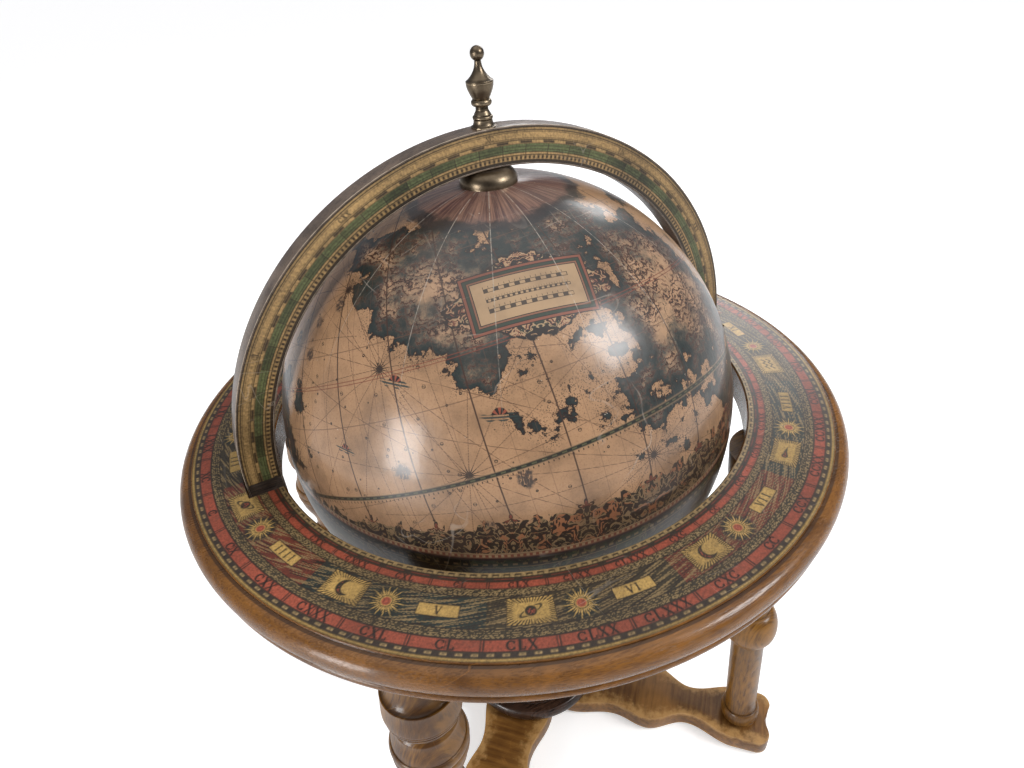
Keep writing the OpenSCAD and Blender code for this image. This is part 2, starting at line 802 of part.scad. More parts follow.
// Wooden disc glued under the lid's crown
module pole_block() {
  color(wood_warm) difference() {
    intersection() {
      translate([0, 0, seam_z]) sphere(r = inner_r - glue, $fn = 144);
      translate([0, 0, block_z]) cylinder(r = block_r, h = globe_r);
    }
    translate([0, 0, seam_z]) cylinder(d = rod_d + 2 * fit, h = far);
  }
}

module pole_washer() {
  color(steel) translate([0, 0, block_z - washer_t]) washer(rod_d * 1.5, rod_d, washer_t);
}

module pole_nut() {
  color(steel) translate([0, 0, block_z - washer_t - nut_h]) difference() {
    cylinder(d = rod_d * 1.8, h = nut_h, $fn = 6);
    translate([0, 0, -1]) cylinder(d = rod_d + 2 * glue, h = nut_h + 2);
  }
}

stretcher_lower();
stretcher_upper();
leg_front_left();
leg_front_right();
leg_back_right();
leg_back_left();
leg_screws();
ring_dowels();
felt_pads();
hub_rosette();
column();
column_washer();
column_screw();
horizon_ring();
horizon_print();
bowl_shell();
bowl_rim_band();
bowl_washer();
bowl_screw();
rack_floor();
rack_posts();
rack_plate();
hinge_leaf_bowl();
hinge_pin();
hinge_screws_bowl();
hinge_leaf_lid();
hinge_screws_lid();
lid_shell();
lid_rim_band();
meridian_arch();
meridian_scale_front();
meridian_scale_back();
pole_cap();
finial();
pole_rod();
pole_block();
pole_washer();
pole_nut();
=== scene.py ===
# %% [markdown]
# A map globe that opens as a box for a bottle and glasses, dressed for a studio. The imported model
# gives every piece its place, and this script adds the finish: turned wood, printed paper, aged
# brass. Lengths are in metres, the floor is z = 0 and the front faces -y.

# %% Load the frame
import math
import bpy
import numpy as np
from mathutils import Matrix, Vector


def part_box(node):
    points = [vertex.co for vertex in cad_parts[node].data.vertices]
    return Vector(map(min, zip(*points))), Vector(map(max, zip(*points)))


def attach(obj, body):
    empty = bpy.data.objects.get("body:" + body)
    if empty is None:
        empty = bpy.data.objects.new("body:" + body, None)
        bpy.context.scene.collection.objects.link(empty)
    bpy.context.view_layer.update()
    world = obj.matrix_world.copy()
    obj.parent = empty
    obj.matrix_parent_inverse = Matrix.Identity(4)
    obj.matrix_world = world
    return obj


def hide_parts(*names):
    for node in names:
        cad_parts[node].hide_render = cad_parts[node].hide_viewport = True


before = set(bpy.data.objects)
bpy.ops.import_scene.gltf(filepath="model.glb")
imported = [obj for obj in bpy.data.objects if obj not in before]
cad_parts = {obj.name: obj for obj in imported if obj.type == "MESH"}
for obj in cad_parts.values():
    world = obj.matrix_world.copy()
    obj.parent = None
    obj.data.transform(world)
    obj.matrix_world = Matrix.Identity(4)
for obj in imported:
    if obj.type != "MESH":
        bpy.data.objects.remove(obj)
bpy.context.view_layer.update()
MM = 0.001

# %% [markdown]
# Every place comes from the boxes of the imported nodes, so the finish follows the model when a size
# changes. Only what a box can't tell, such as a wall or a gap, is written here as a number.

# %% Sizes from the frame
lid_low, lid_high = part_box("lid_shell")
ring_low, ring_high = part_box("horizon_ring")
arch_low, arch_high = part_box("meridian_arch")
SHELL_T = 4 * MM
GLOBE_GAP = 8.6 * MM
ARCH_W = 19.7 * MM
DOWEL_R = 5 * MM
PAD_R = 15 * MM
GLOBE_R = lid_high.x
SEAM_Z = lid_low.z
HOLE_R = GLOBE_R + GLOBE_GAP
RIM_R = ring_high.x
RING_Z = ring_low.z
RING_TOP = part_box("horizon_print")[1].z
PRINT_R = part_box("horizon_print")[1].x
ARCH_OUT = arch_high.x
ARCH_IN = ARCH_OUT - ARCH_W
ARCH_T = 2 * arch_high.y
ARCH_FOOT = arch_low.z
BOARD_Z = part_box("stretcher_lower")[0].z
BOARD_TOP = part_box("stretcher_upper")[1].z
LEG_TOP_R = (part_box("ring_dowels")[1].x - DOWEL_R) * math.sqrt(2)
LEG_FOOT_R = (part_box("felt_pads")[1].x - PAD_R) * math.sqrt(2)
print("globe radius", round(GLOBE_R, 4), "ring radius", round(RIM_R, 4), "seam", round(SEAM_Z, 4))
print("leg radii", round(LEG_TOP_R, 4), round(LEG_FOOT_R, 4))

# %% [markdown]
# The camera stands in front of the globe, a little to its left and well above the ring, and its
# lens is short, so that the near side of the ring looms large. It also leans a few degrees, as a
# camera held in the hand does. A lens on an empty target could aim it, but angles keep the lean.

# %% Camera
CAMERA_FROM_CENTRE = (-0.1415, -0.3203, 0.2486)
CAMERA_ANGLES = (55.20, 4.08, -27.16)
lens = bpy.data.cameras.new("camera")
lens.sensor_width = 36
lens.lens = 23.56
camera = bpy.data.objects.new("camera", lens)
camera.location = np.array(CAMERA_FROM_CENTRE) + (0, 0, SEAM_Z)
camera.rotation_euler = [math.radians(a) for a in CAMERA_ANGLES]
bpy.context.scene.collection.objects.link(camera)
bpy.context.scene.camera = camera
print("camera at", [round(v, 3) for v in camera.location])

# %% [markdown]
# New surfaces are grids of points worked out as whole arrays. `grid_faces` joins the points of a
# grid into quads, and `add_mesh` hands both arrays to Blender at once, which is far quicker than
# adding vertices one by one.

# %% Grids and meshes
def grid_faces(rows, columns, wrap_rows=False, wrap_columns=False):
    """Quads of a grid: point (i, j) is number i * columns + j, and each quad joins (i, j),
    (i, j + 1), (i + 1, j + 1) and (i + 1, j). A wrapped direction also joins last to first."""
    i = np.arange(rows if wrap_rows else rows - 1)[:, None]
    j = np.arange(columns if wrap_columns else columns - 1)[None, :]
    i_next, j_next = (i + 1) % rows, (j + 1) % columns
    quads = (i * columns + j, i * columns + j_next, i_next * columns + j_next, i_next * columns + j)
    return np.stack(np.broadcast_arrays(*quads), axis=-1).reshape(-1, 4)


def add_mesh(name, points, faces, body, smooth_angle=40):
    """A mesh object at the origin, shaded smooth, that rides on a body."""
    mesh = bpy.data.meshes.new(name)
    mesh.from_pydata(np.asarray(points).reshape(-1, 3).tolist(), [], [list(f) for f in faces])
    mesh.validate()
    mesh.update()
    piece = bpy.data.objects.new(name, mesh)
    bpy.context.scene.collection.objects.link(piece)
    mesh.shade_smooth()
    mesh.set_sharp_from_angle(angle=math.radians(smooth_angle))
    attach(piece, body)
    print(name, "has", len(mesh.vertices), "points")
    return piece


def add_value(piece, name, values):
    """Stores one number per vertex, for a material to read by name."""
    attribute = piece.data.attributes.new(name, "FLOAT", "POINT")
    attribute.data.foreach_set("value", np.asarray(values, np.float32).ravel())


def add_ink(piece, colours):
    """Stores one colour per vertex as the attribute named ink."""
    flat = np.asarray(colours, np.float32).reshape(-1, 3)
    attribute = piece.data.attributes.new("ink", "FLOAT_COLOR", "POINT")
    attribute.data.foreach_set("color", np.c_[flat, np.ones(len(flat), np.float32)].ravel())


def points_of(piece):
    """The vertices of a piece as an array of rows x, y, z."""
    flat = np.zeros(len(piece.data.vertices) * 3, np.float32)
    piece.data.vertices.foreach_get("co", flat)
    return flat.reshape(-1, 3).astype(float)

# %% [markdown]
# Most of this globe was turned on a lathe, so one function makes most of its pieces. An outline is
# a list of radii and heights. Curves are written as beads, soft runs and shoulders, the words that
# a turner uses for them.

# %% Outlines
def ease(a, b, u):
    """Goes from a to b along half a cosine wave as u goes from 0 to 1."""
    return a + (b - a) * (1 - np.cos(np.pi * u)) / 2


def bead(z0, z1, r, rise, n=16):
    """Half an ellipse between two heights, swelling by rise: radius r + rise sin t, t from 0 to pi."""
    t = np.linspace(0, np.pi, n)
    return np.c_[r + rise * np.sin(t), z0 + (z1 - z0) * (1 - np.cos(t)) / 2]


def run(z0, z1, r0, r1, n=14):
    """An S-shaped change of radius at a steady climb."""
    u = np.linspace(0, 1, n)
    return np.c_[ease(r0, r1, u), z0 + (z1 - z0) * u]


def arc(r, z, radius, start, end, n=12, squash=1):
    """Part of a circle in the outline's plane, with its centre at (r, z), angles in degrees."""
    a = np.radians(np.linspace(start, end, n))
    return np.c_[r + radius * np.cos(a), z + radius * squash * np.sin(a)]


def outline(*parts):
    """Joins parts given in millimetres into one outline in metres, without doubled points."""
    points = np.concatenate([np.atleast_2d(p) for p in parts]) * MM
    step = np.linalg.norm(np.diff(points, axis=0), axis=1)
    return points[np.r_[True, step > 0.02 * MM]]


def round_corners(points, radius, closed, steps=5):
    """Replaces each sharp corner by a short curve: a quadratic blend between two points that lie
    the same distance before and after the corner, at most 0.45 of the shorter neighbour side."""
    p = np.asarray(points, float)
    before, after = np.roll(p, 1, axis=0) - p, np.roll(p, -1, axis=0) - p
    length_b, length_a = np.linalg.norm(before, axis=1), np.linalg.norm(after, axis=1)
    turn = 1 + np.sum(before * after, axis=1) / (length_b * length_a)
    reach = np.minimum(radius, 0.45 * np.minimum(length_b, length_a)) * (turn > 0.08)
    if not closed:
        reach[[0, -1]] = 0
    start = p + before * (reach / length_b)[:, None]
    end = p + after * (reach / length_a)[:, None]
    u = np.linspace(0, 1, steps)[None, :, None]
    curve = (1 - u) ** 2 * start[:, None] + 2 * u * (1 - u) * p[:, None] + u**2 * end[:, None]
    keep = np.repeat(reach[:, None] > 0, steps, axis=1)
    keep[:, 0] = True
    return curve[keep]

# %% [markdown]
# `turned` sweeps an outline round the z axis. An outline that starts and ends on the axis closes
# itself with a fan of triangles at each pole; a closed one, such as the ring's section, wraps.
# It also stores how sharply the outline bends outwards at each point, which is where a finish rubs
# through first; where it bends inwards, the woods get painted shade in their hollows and the brass its
# dark patina.

# %% The lathe
def outward_bend(p, closed):
    """How far an outline turns at each point, in radians, positive at an outer edge."""
    ahead = np.roll(p, -1, axis=0) - p
    back = p - np.roll(p, 1, axis=0)
    cross = back[:, 0] * ahead[:, 1] - back[:, 1] * ahead[:, 0]
    dot = np.sum(back * ahead, axis=1)
    bend = np.arctan2(cross, dot)
    if not closed:
        bend[[0, -1]] = 0
    return bend


def turned(name, p, body, columns=128, closed=False, place=None, smooth_angle=40):
    """Surface of revolution: outline point (r, z) goes to (r cos a, r sin a, z) for every angle a.
    place is a function that moves the finished array of points, such as a lean."""
    angle = np.linspace(0, 2 * np.pi, columns, endpoint=False)
    r, z = p[:, 0][:, None], p[:, 1][:, None]
    points = np.stack([r * np.cos(angle), r * np.sin(angle), z + 0 * angle], axis=-1)
    faces = grid_faces(len(p), columns, wrap_rows=closed, wrap_columns=True)
    wear_patina_and_shade = np.repeat(outward_bend(p, closed)[:, None], columns, axis=1)
    points, wear_patina_and_shade = points.reshape(-1, 3), wear_patina_and_shade.ravel()
    if not closed:
        low, high = len(points), len(points) + 1
        first, last = np.arange(columns), np.arange(columns) + (len(p) - 1) * columns
        points = np.r_[points, [[0, 0, p[0, 1]], [0, 0, p[-1, 1]]]]
        wear_patina_and_shade = np.r_[wear_patina_and_shade, 0, 0]
        faces = [list(f) for f in faces]
        faces += [[low, (j + 1) % columns, j] for j in first]
        faces += [[high, last[j], last[(j + 1) % columns]] for j in range(columns)]
    if place is not None:
        points = place(points)
    piece = add_mesh(name, points, faces, body, smooth_angle)
    add_value(piece, "wear_patina_and_shade", wear_patina_and_shade)
    return piece

# %% [markdown]
# A material here is a small formula. Writing it node by node hides the idea, so `Field` wraps an
# output socket and lets a formula read as arithmetic: each +, * or call adds the node it needs.

# %% Fields: node sockets that add up
class Field:
    """A number, colour or direction that changes over a surface."""

    def __init__(self, tree, socket):
        self.tree, self.socket = tree, socket

    def math(self, operation, *others, clamp=False):
        """One Math node, with this field first and the others after it."""
        node = self.tree.nodes.new("ShaderNodeMath")
        node.operation, node.use_clamp = operation, clamp
        for socket, value in zip(node.inputs, (self, *others)):
            feed(self.tree, socket, value)
        return Field(self.tree, node.outputs[0])

    def __rsub__(self, other):
        return (self * -1.0).math("ADD", other)

    def clamped(self):
        """The field with all below 0 raised to 0 and all above 1 lowered to 1."""
        return self.math("ADD", 0.0, clamp=True)

    def between(self, low, high, to_low=0.0, to_high=1.0):
        """Soft step: to_low below low, to_high above high, and a smooth curve between them."""
        node = self.tree.nodes.new("ShaderNodeMapRange")
        node.interpolation_type = "SMOOTHSTEP"
        for socket, value in zip(node.inputs, (self, low, high, to_low, to_high)):
            feed(self.tree, socket, value)
        return Field(self.tree, node.outputs[0])

    def line(self, width, soft=0.5):
        """1 where the field is near zero, within half a width, and 0 further off."""
        return abs(self).between(width * (0.5 + soft / 2), width * (0.5 - soft / 2))

    def parts(self):
        """The x, y and z parts of a direction."""
        node = self.tree.nodes.new("ShaderNodeSeparateXYZ")
        feed(self.tree, node.inputs[0], self)
        return [Field(self.tree, out) for out in node.outputs]

    def vector(self, operation, other=None, out="Vector"):
        """One Vector Math node, with this field first and the other one after it."""
        node = self.tree.nodes.new("ShaderNodeVectorMath")
        node.operation = operation
        feed(self.tree, node.inputs[0], self)
        if other is not None:
            feed(self.tree, node.inputs[1], other)
        return Field(self.tree, node.outputs[out])

    def dot(self, direction):
        """How far this place lies along a direction."""
        return self.vector("DOT_PRODUCT", direction, out="Value")

    def scaled(self, *factors):
        """This place times one factor, or times three of them on x, y and z."""
        return self.vector("MULTIPLY", factors if len(factors) == 3 else factors * 3)

    def mix(self, other, share, blend="MIX"):
        """This colour with a share of another one laid over it."""
        node = self.tree.nodes.new("ShaderNodeMix")
        node.data_type, node.blend_type = "RGBA", blend
        for name, value in ((0, share), (6, self), (7, other)):
            feed(self.tree, node.inputs[name], value)
        return Field(self.tree, node.outputs[2])


def math_method(operation):
    """A method of a field that adds one Math node."""
    return lambda field, *others: field.math(operation, *others)


MATH_METHODS = {
    "__add__": "ADD", "__radd__": "ADD", "__sub__": "SUBTRACT", "__mul__": "MULTIPLY",
    "__rmul__": "MULTIPLY", "__abs__": "ABSOLUTE", "sine": "SINE", "cosine": "COSINE",
    "fraction": "FRACT", "whole": "FLOOR", "above": "GREATER_THAN", "below": "LESS_THAN",
    "least": "MINIMUM", "most": "MAXIMUM", "root": "SQRT",
}
for method, operation in MATH_METHODS.items():
    setattr(Field, method, math_method(operation))
print("a field has", len(MATH_METHODS), "plain operations")

# %% [markdown]
# A few kinds of node come back in every finish: a place on the piece, noise, cells, a ramp of
# colours and a bump. Each gets one function that sets its sockets and returns a field.

# %% Places, textures and bumps
def feed(tree, socket, value):
    """Links a field to a socket, or sets the socket's own value."""
    if isinstance(value, Field):
        tree.links.new(value.socket, socket)
    elif hasattr(value, "__len__") and len(value) == 3 and len(socket.default_value) == 4:
        socket.default_value = (*value, 1)
    else:
        socket.default_value = value


def triple(tree, x, y, z):
    """Three numbers as one place."""
    node = tree.nodes.new("ShaderNodeCombineXYZ")
    for socket, value in zip(node.inputs, (x, y, z)):
        feed(tree, socket, value)
    return Field(tree, node.outputs[0])


def texture(tree, kind, out=0, settings=None, **values):
    """One texture node: settings are its menus, values its sockets."""
    node = tree.nodes.new("ShaderNodeTex" + kind)
    for name, value in (settings or {}).items():
        setattr(node, name, value)
    for name, value in values.items():
        feed(tree, node.inputs[name.replace("_", " ")], value)
    return Field(tree, node.outputs[out])


def noise(tree, at, scale, detail=4.0, rough=0.55, out=0, **more):
    """Cloudy noise: the value from output 0, or a random colour from output 1."""
    return texture(tree, "Noise", out, Vector=at, Scale=scale, Detail=detail, Roughness=rough, **more)


def cells(tree, at, scale, feature="F1", out=0):
    """Cells round scattered points: distance from output 0, a colour for each cell from 1, and
    the cell's own point from 2."""
    return texture(tree, "Voronoi", out, {"feature": feature}, Vector=at, Scale=scale)


def colour_ramp(tree, field, *stops, steps=False):
    """Looks a number up in a row of (place, colour) stops."""
    node = tree.nodes.new("ShaderNodeValToRGB")
    node.color_ramp.interpolation = "CONSTANT" if steps else "LINEAR"
    while len(node.color_ramp.elements) < len(stops):
        node.color_ramp.elements.new(1.0)
    for element, (place, colour) in zip(node.color_ramp.elements, stops):
        element.position, element.color = place, (*colour, 1)
    feed(tree, node.inputs[0], field)
    return Field(tree, node.outputs[0])


def bump(tree, height, distance, strength=1.0, under=None):
    """Turns a height into a tilt of the surface; under is a bump that it lies on."""
    node = tree.nodes.new("ShaderNodeBump")
    feed(tree, node.inputs["Height"], height)
    feed(tree, node.inputs["Distance"], distance)
    feed(tree, node.inputs["Strength"], strength)
    if under is not None:
        feed(tree, node.inputs["Normal"], under)
    return Field(tree, node.outputs[0])


def place_on(tree, centre=(0, 0, 0), turn=(0, 0, 0), pace=(1, 1, 1)):
    """Object coordinates through a Mapping node: counted from a centre, turned in degrees, and
    passed through at their own pace on each axis."""
    coordinates = tree.nodes.new("ShaderNodeTexCoord")
    mapping = tree.nodes.new("ShaderNodeMapping")
    mapping.vector_type = "POINT"
    tree.links.new(coordinates.outputs["Object"], mapping.inputs["Vector"])
    mapping.inputs["Location"].default_value = [-c for c in centre]
    mapping.inputs["Rotation"].default_value = [math.radians(a) for a in turn]
    mapping.inputs["Scale"].default_value = pace
    return Field(tree, mapping.outputs[0])


def stored(tree, name, out="Fac"):
    """A value or colour that a piece stores on its vertices."""
    node = tree.nodes.new("ShaderNodeAttribute")
    node.attribute_name = name
    return Field(tree, node.outputs[out])

# %% [markdown]
# An effect that several finishes share becomes a node group. Its inputs set how strong it is on
# one finish, and it puts out masks and values only, so the shader itself stays in the material.

# %% Groups and materials
def new_group(name, inputs, outputs, formula):
    """A shader node group. formula(tree, fields) gets the inputs by name and returns the outputs
    by name. The input At is a place, and all the others are numbers."""
    tree = bpy.data.node_groups.new(name, "ShaderNodeTree")
    for direction, names in (("INPUT", inputs), ("OUTPUT", outputs)):
        for socket in names:
            kind = "NodeSocketVector" if socket == "At" else "NodeSocketFloat"
            tree.interface.new_socket(name=socket, in_out=direction, socket_type=kind)
    entry, leave = tree.nodes.new("NodeGroupInput"), tree.nodes.new("NodeGroupOutput")
    results = formula(tree, {s: Field(tree, entry.outputs[s]) for s in inputs})
    for socket in outputs:
        feed(tree, leave.inputs[socket], results[socket])
    return tree


def use(tree, group, **values):
    """Places a group and returns its outputs by name; spaces in names are written as _."""
    node = tree.nodes.new("ShaderNodeGroup")
    node.node_tree = group
    for name, value in values.items():
        feed(tree, node.inputs[name.replace("_", " ")], value)
    return {socket.name: Field(tree, socket) for socket in node.outputs}


def new_material(name, formula, **plain):
    """A material whose formula(tree) returns fields by the shader's socket names. plain gives
    the values that are the same all over, which are set on the shader itself."""
    material = bpy.data.materials.new(name)
    material.use_nodes = True
    tree = material.node_tree
    shader = tree.nodes["Principled BSDF"]
    for socket, value in plain.items():
        shader.inputs[socket.replace("_", " ")].default_value = value
    for socket, value in formula(tree).items():
        feed(tree, shader.inputs[socket.replace("_", " ")], value)
    return material


def finish_with(material, *pieces):
    """Gives pieces, or CAD nodes named by their node, one material in every slot."""
    for piece in pieces:
        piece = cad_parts[piece] if isinstance(piece, str) else piece
        if not piece.material_slots:
            piece.data.materials.append(material)
        for place in piece.material_slots:
            place.material = material

# %% [markdown]
# The four legs are turned upright and then leant outwards, so that their feet stand wider than
# their tops. A lean is a turn about a level axis; after it, the two ends are cut level by
# flattening whatever reaches past the ring above or the board below.

# %% Legs
LEG_H = RING_Z - BOARD_TOP
LEAN = math.atan((LEG_FOOT_R - LEG_TOP_R) / LEG_H)
LEG_LEN = LEG_H / math.cos(LEAN) / MM
LEG_D, BALL_D, SHAFT_D, FOOT_D = 43, 37, 23, 29
BALL_H, TAPER_H, BULB_H, CAPITAL_H = 31, 35, 40, 68
LEG_TURNS = {"front_left": -135, "front_right": -45, "back_right": 45, "back_left": 135}


def leg_outline():
    """Foot ring, shaft, ball, long taper, bulb with its beads, collar, and hollow capital."""
    capital = LEG_LEN - CAPITAL_H
    bulb = capital - BULB_H
    ball = bulb - TAPER_H
    shaft = ball - BALL_H
    foot, slim, wide = FOOT_D / 2, SHAFT_D / 2, LEG_D / 2
    return outline(
        [[foot - 2, -6], [foot - 2, 2]],
        bead(2, 15, foot - 2, 2),
        run(15, 24, foot - 2.6, slim),
        [[slim, shaft - 2], [slim + 1.4, shaft - 2], [slim + 1.4, shaft]],
        bead(shaft, ball, slim, BALL_D / 2 - slim, 30),
        run(ball + 1, ball + 8, slim, slim + 1.5),
        run(ball + 8, bulb + 2, slim + 1.5, wide - 1, 20),
        bead(bulb + 2, bulb + 8, wide - 1, 1.2),
        bead(bulb + 8, bulb + 15, wide - 1, 1.6),
        run(bulb + 15, capital - 11, wide - 1, wide - 3.5),
        run(capital - 9, capital, wide - 5, wide - 0.6),
        bead(capital, capital + 3, wide - 1.4, 1),
        run(capital + 3, capital + 18, wide, wide - 1),
        bead(capital + 18, LEG_LEN - 18, wide - 1, -6, 24),
        [[wide + 1.5, LEG_LEN - 18], [wide + 1.5, LEG_LEN + 6]],
    )


def leant(turn):
    """A function that leans points outwards, stands them on their foot and turns them about z."""
    def place(p):
        x = p[:, 0] * math.cos(LEAN) - p[:, 2] * math.sin(LEAN) + LEG_FOOT_R
        z = p[:, 0] * math.sin(LEAN) + p[:, 2] * math.cos(LEAN) + BOARD_TOP
        c, s = math.cos(math.radians(turn)), math.sin(math.radians(turn))
        return np.c_[x * c - p[:, 1] * s, x * s + p[:, 1] * c, np.clip(z, BOARD_TOP, RING_Z)]
    return place


leg_shape = round_corners(leg_outline(), 0.5 * MM, closed=False)
legs = []
for side, turn in LEG_TURNS.items():
    leg = turned("turned_leg_" + side, leg_shape, "stand", 96, place=leant(turn))
    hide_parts("leg_" + side)
    legs.append(leg)
print("lean", round(math.degrees(LEAN), 2), "degrees")

# %% [markdown]
# The stretcher is two boards that cross in a half lap. Each board is a closed tube of points: one
# parameter runs along it, the other round its section. Its half width waves along its length, and
# the tip dips between two round ears. A saw cuts such an outline and a router rounds its edges.

# %% Stretcher boards
BOARD_T = BOARD_TOP - BOARD_Z
BOARD_TIP = LEG_FOOT_R + 23.5 * MM
EAR_R = 9 * MM
EAR_DIP = 4 * MM
BOARD_ROUND = 2.2 * MM
LAP_HALF, END_HALF = 28 * MM, 22 * MM
SQUARENESS = 1.42
WAVE = np.array([[0, LAP_HALF], [40 * MM, LAP_HALF], [LEG_FOOT_R * 0.44, 20.5 * MM],
                 [LEG_FOOT_R * 0.59, 25.5 * MM], [LEG_FOOT_R * 0.775, 12.5 * MM],
                 [LEG_FOOT_R * 0.985, END_HALF]])


def half_width(s):
    """Cosine waves between the stations of WAVE, then a quarter circle round the ear."""
    k = np.clip(np.searchsorted(WAVE[:, 0], s) - 1, 0, len(WAVE) - 2)
    share = np.clip((s - WAVE[k, 0]) / (WAVE[k + 1, 0] - WAVE[k, 0]), 0, 1)
    width = ease(WAVE[k, 1], WAVE[k + 1, 1], share)
    past = np.clip((s - (BOARD_TIP - EAR_R)) / EAR_R, 0, 1)
    return width - EAR_R * (1 - np.sqrt(1 - past**2))


def squared(wave):
    """A cosine or sine stretched and cut off at -1 and 1, which turns a circle into a box."""
    return np.sign(wave) * np.minimum(np.abs(wave) * SQUARENESS, 1)


def board(name, turn, node, lap_side, along=360, around=56):
    """Board point (s, t): s runs from tip to tip, and t round the section, a box with round
    edges. On it y = squared(cos t) (w - r) + r cos t, with w the half width at s and r the
    edge's radius, and z is the same with sin t and half the thickness."""
    s = BOARD_TIP * np.sin(np.linspace(-np.pi / 2, np.pi / 2, along))[:, None]
    t = np.linspace(0, 2 * np.pi, around, endpoint=False)[None, :]
    wide = np.maximum(half_width(np.abs(s)), 1e-4)
    middle = BOARD_Z + BOARD_T / 2
    y = squared(np.cos(t)) * (wide - BOARD_ROUND) + np.cos(t) * BOARD_ROUND
    z = squared(np.sin(t)) * (BOARD_T / 2 - BOARD_ROUND) + np.sin(t) * BOARD_ROUND + middle
    tip_dip = ease(EAR_DIP, 0, np.clip(np.abs(y) / (END_HALF - EAR_R), 0, 1))
    near_tip = np.clip((np.abs(s) / BOARD_TIP - 0.85) / 0.15, 0, 1)
    x = s * (1 - tip_dip / BOARD_TIP * near_tip)
    halved = np.minimum(z, middle) if lap_side > 0 else np.maximum(z, middle)
    z = np.where(np.abs(x) < LAP_HALF, halved, z)
    c, q = math.cos(math.radians(turn)), math.sin(math.radians(turn))
    points = np.stack([x * c - y * q, x * q + y * c, z], axis=-1)
    faces = [list(f) for f in grid_faces(along, around, wrap_columns=True)]
    faces += [list(range(around))[::-1], list(range((along - 1) * around, along * around))]
    piece = add_mesh(name, points, faces, "stand", 35)
    edge = np.minimum(np.abs(np.cos(t)), np.abs(np.sin(t))) * SQUARENESS
    add_value(piece, "wear_patina_and_shade", edge + 0 * s)
    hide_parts(node)
    return piece


board_lower = board("stretcher_board_lower", -45, "stretcher_lower", 1)
board_upper = board("stretcher_board_upper", 45, "stretcher_upper", -1)

# %% [markdown]
# The column under the bowl and the rosette on the crossing are turned in one go each. The top of
# the column is a cup that the bowl sits in: points that would enter the globe are moved down its
# surface, because a lathe outline can't know about the ball above it.

# %% Column and rosette
ROSETTE_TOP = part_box("hub_rosette")[1].z
BOWL_LOW = SEAM_Z - GLOBE_R


def below_globe(p, gap=0.05 * MM):
    """Lowers any point inside the globe to the globe's underside: z = seam - sqrt(R^2 - r^2)."""
    r2 = np.minimum(p[:, 0] ** 2 + p[:, 1] ** 2, GLOBE_R**2)
    return np.c_[p[:, :2], np.minimum(p[:, 2], SEAM_Z - np.sqrt(GLOBE_R**2 - r2) - gap)]


ROSETTE_R, ROSETTE_H = 56, (ROSETTE_TOP - BOARD_TOP) / MM
BASE_R, NECK_R, VASE_R, CUP_R = 29, 11, 24, 30
cup = (BOWL_LOW - ROSETTE_TOP) / MM - 26
rosette_shape = outline(
    [[ROSETTE_R - 3, 0], [ROSETTE_R - 3, 1]],
    bead(1, ROSETTE_H * 0.5, ROSETTE_R - 3, 3),
    [[ROSETTE_R - 8, ROSETTE_H * 0.5]],
    bead(ROSETTE_H * 0.5, ROSETTE_H * 0.62, ROSETTE_R - 8, -2),
    bead(ROSETTE_H * 0.62, ROSETTE_H, ROSETTE_R - 16, 5),
    [[BASE_R - 2, ROSETTE_H], [1, ROSETTE_H]],
) + (0, BOARD_TOP)
column_shape = outline(
    [[1, 0], [BASE_R, 0], [BASE_R, 3]],
    bead(3, 12, BASE_R - 3, 3),
    run(12, 26, BASE_R - 4, NECK_R + 1),
    bead(26, 31, NECK_R + 1, 2.5),
    run(31, 52, NECK_R + 1, VASE_R, 20),
    run(52, cup - 10, VASE_R, NECK_R, 26),
    bead(cup - 10, cup - 4, NECK_R, 3),
    run(cup - 4, cup + 16, NECK_R + 1, CUP_R - 2, 20),
    bead(cup + 16, cup + 26, CUP_R - 2, 2),
    [[CUP_R - 2, cup + 32]], [[r, cup + 32] for r in range(CUP_R - 4, 0, -3)],
) + (0, ROSETTE_TOP)
rosette = turned("rosette", round_corners(rosette_shape, 0.5 * MM, False), "stand", 144)
column = turned("turned_column", round_corners(column_shape, 0.4 * MM, False), "stand",
                128, place=below_globe)
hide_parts("hub_rosette")
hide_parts("column")

# %% [markdown]
# The ring's wood is one lathe section too: a hollow under a bullnose, a bead below it, and a bed
# for the printed sheet. The feet of the arch drop into two notches, which a Boolean cuts out of
# the finished surface, as a saw and chisel would. The wear that the outline stored stays on the
# points that the Boolean leaves.

# %% Horizon ring
RING_T = (RING_TOP - RING_Z) / MM
NOTCH_OUT = ARCH_OUT + 1 * MM
NOTCH_FRONT = -ARCH_T / 2 - 9 * MM
NOTCH_BACK = ARCH_T / 2 + 1 * MM


def ring_outline():
    """The section, anticlockwise from the bottom of the hole: bead, bullnose, cove, print bed."""
    rim, hole, sheet = RIM_R / MM, HOLE_R / MM, PRINT_R / MM
    return outline(
        [[hole + 1, 0], [rim - 30, 0], [rim - 6, 0]],
        arc(rim - 4.4, 2.6, 2.6, -75, 60, 14),
        arc(rim - 7.2, RING_T * 0.58, 7.2, -65, 61, 34, squash=7.6 / 7.2),
        [[rim - 5.2, RING_T - 1], [sheet + 0.8, RING_T - 1]],
        [[sheet + 0.4, RING_T], [sheet + 0.05, RING_T]],
        [[sheet + 0.05, RING_T - 0.6], [hole + 20, RING_T - 0.6], [hole + 0.6, RING_T - 0.6]],
        [[hole, RING_T - 1.2], [hole, 1]],
    ) + (0, RING_Z)


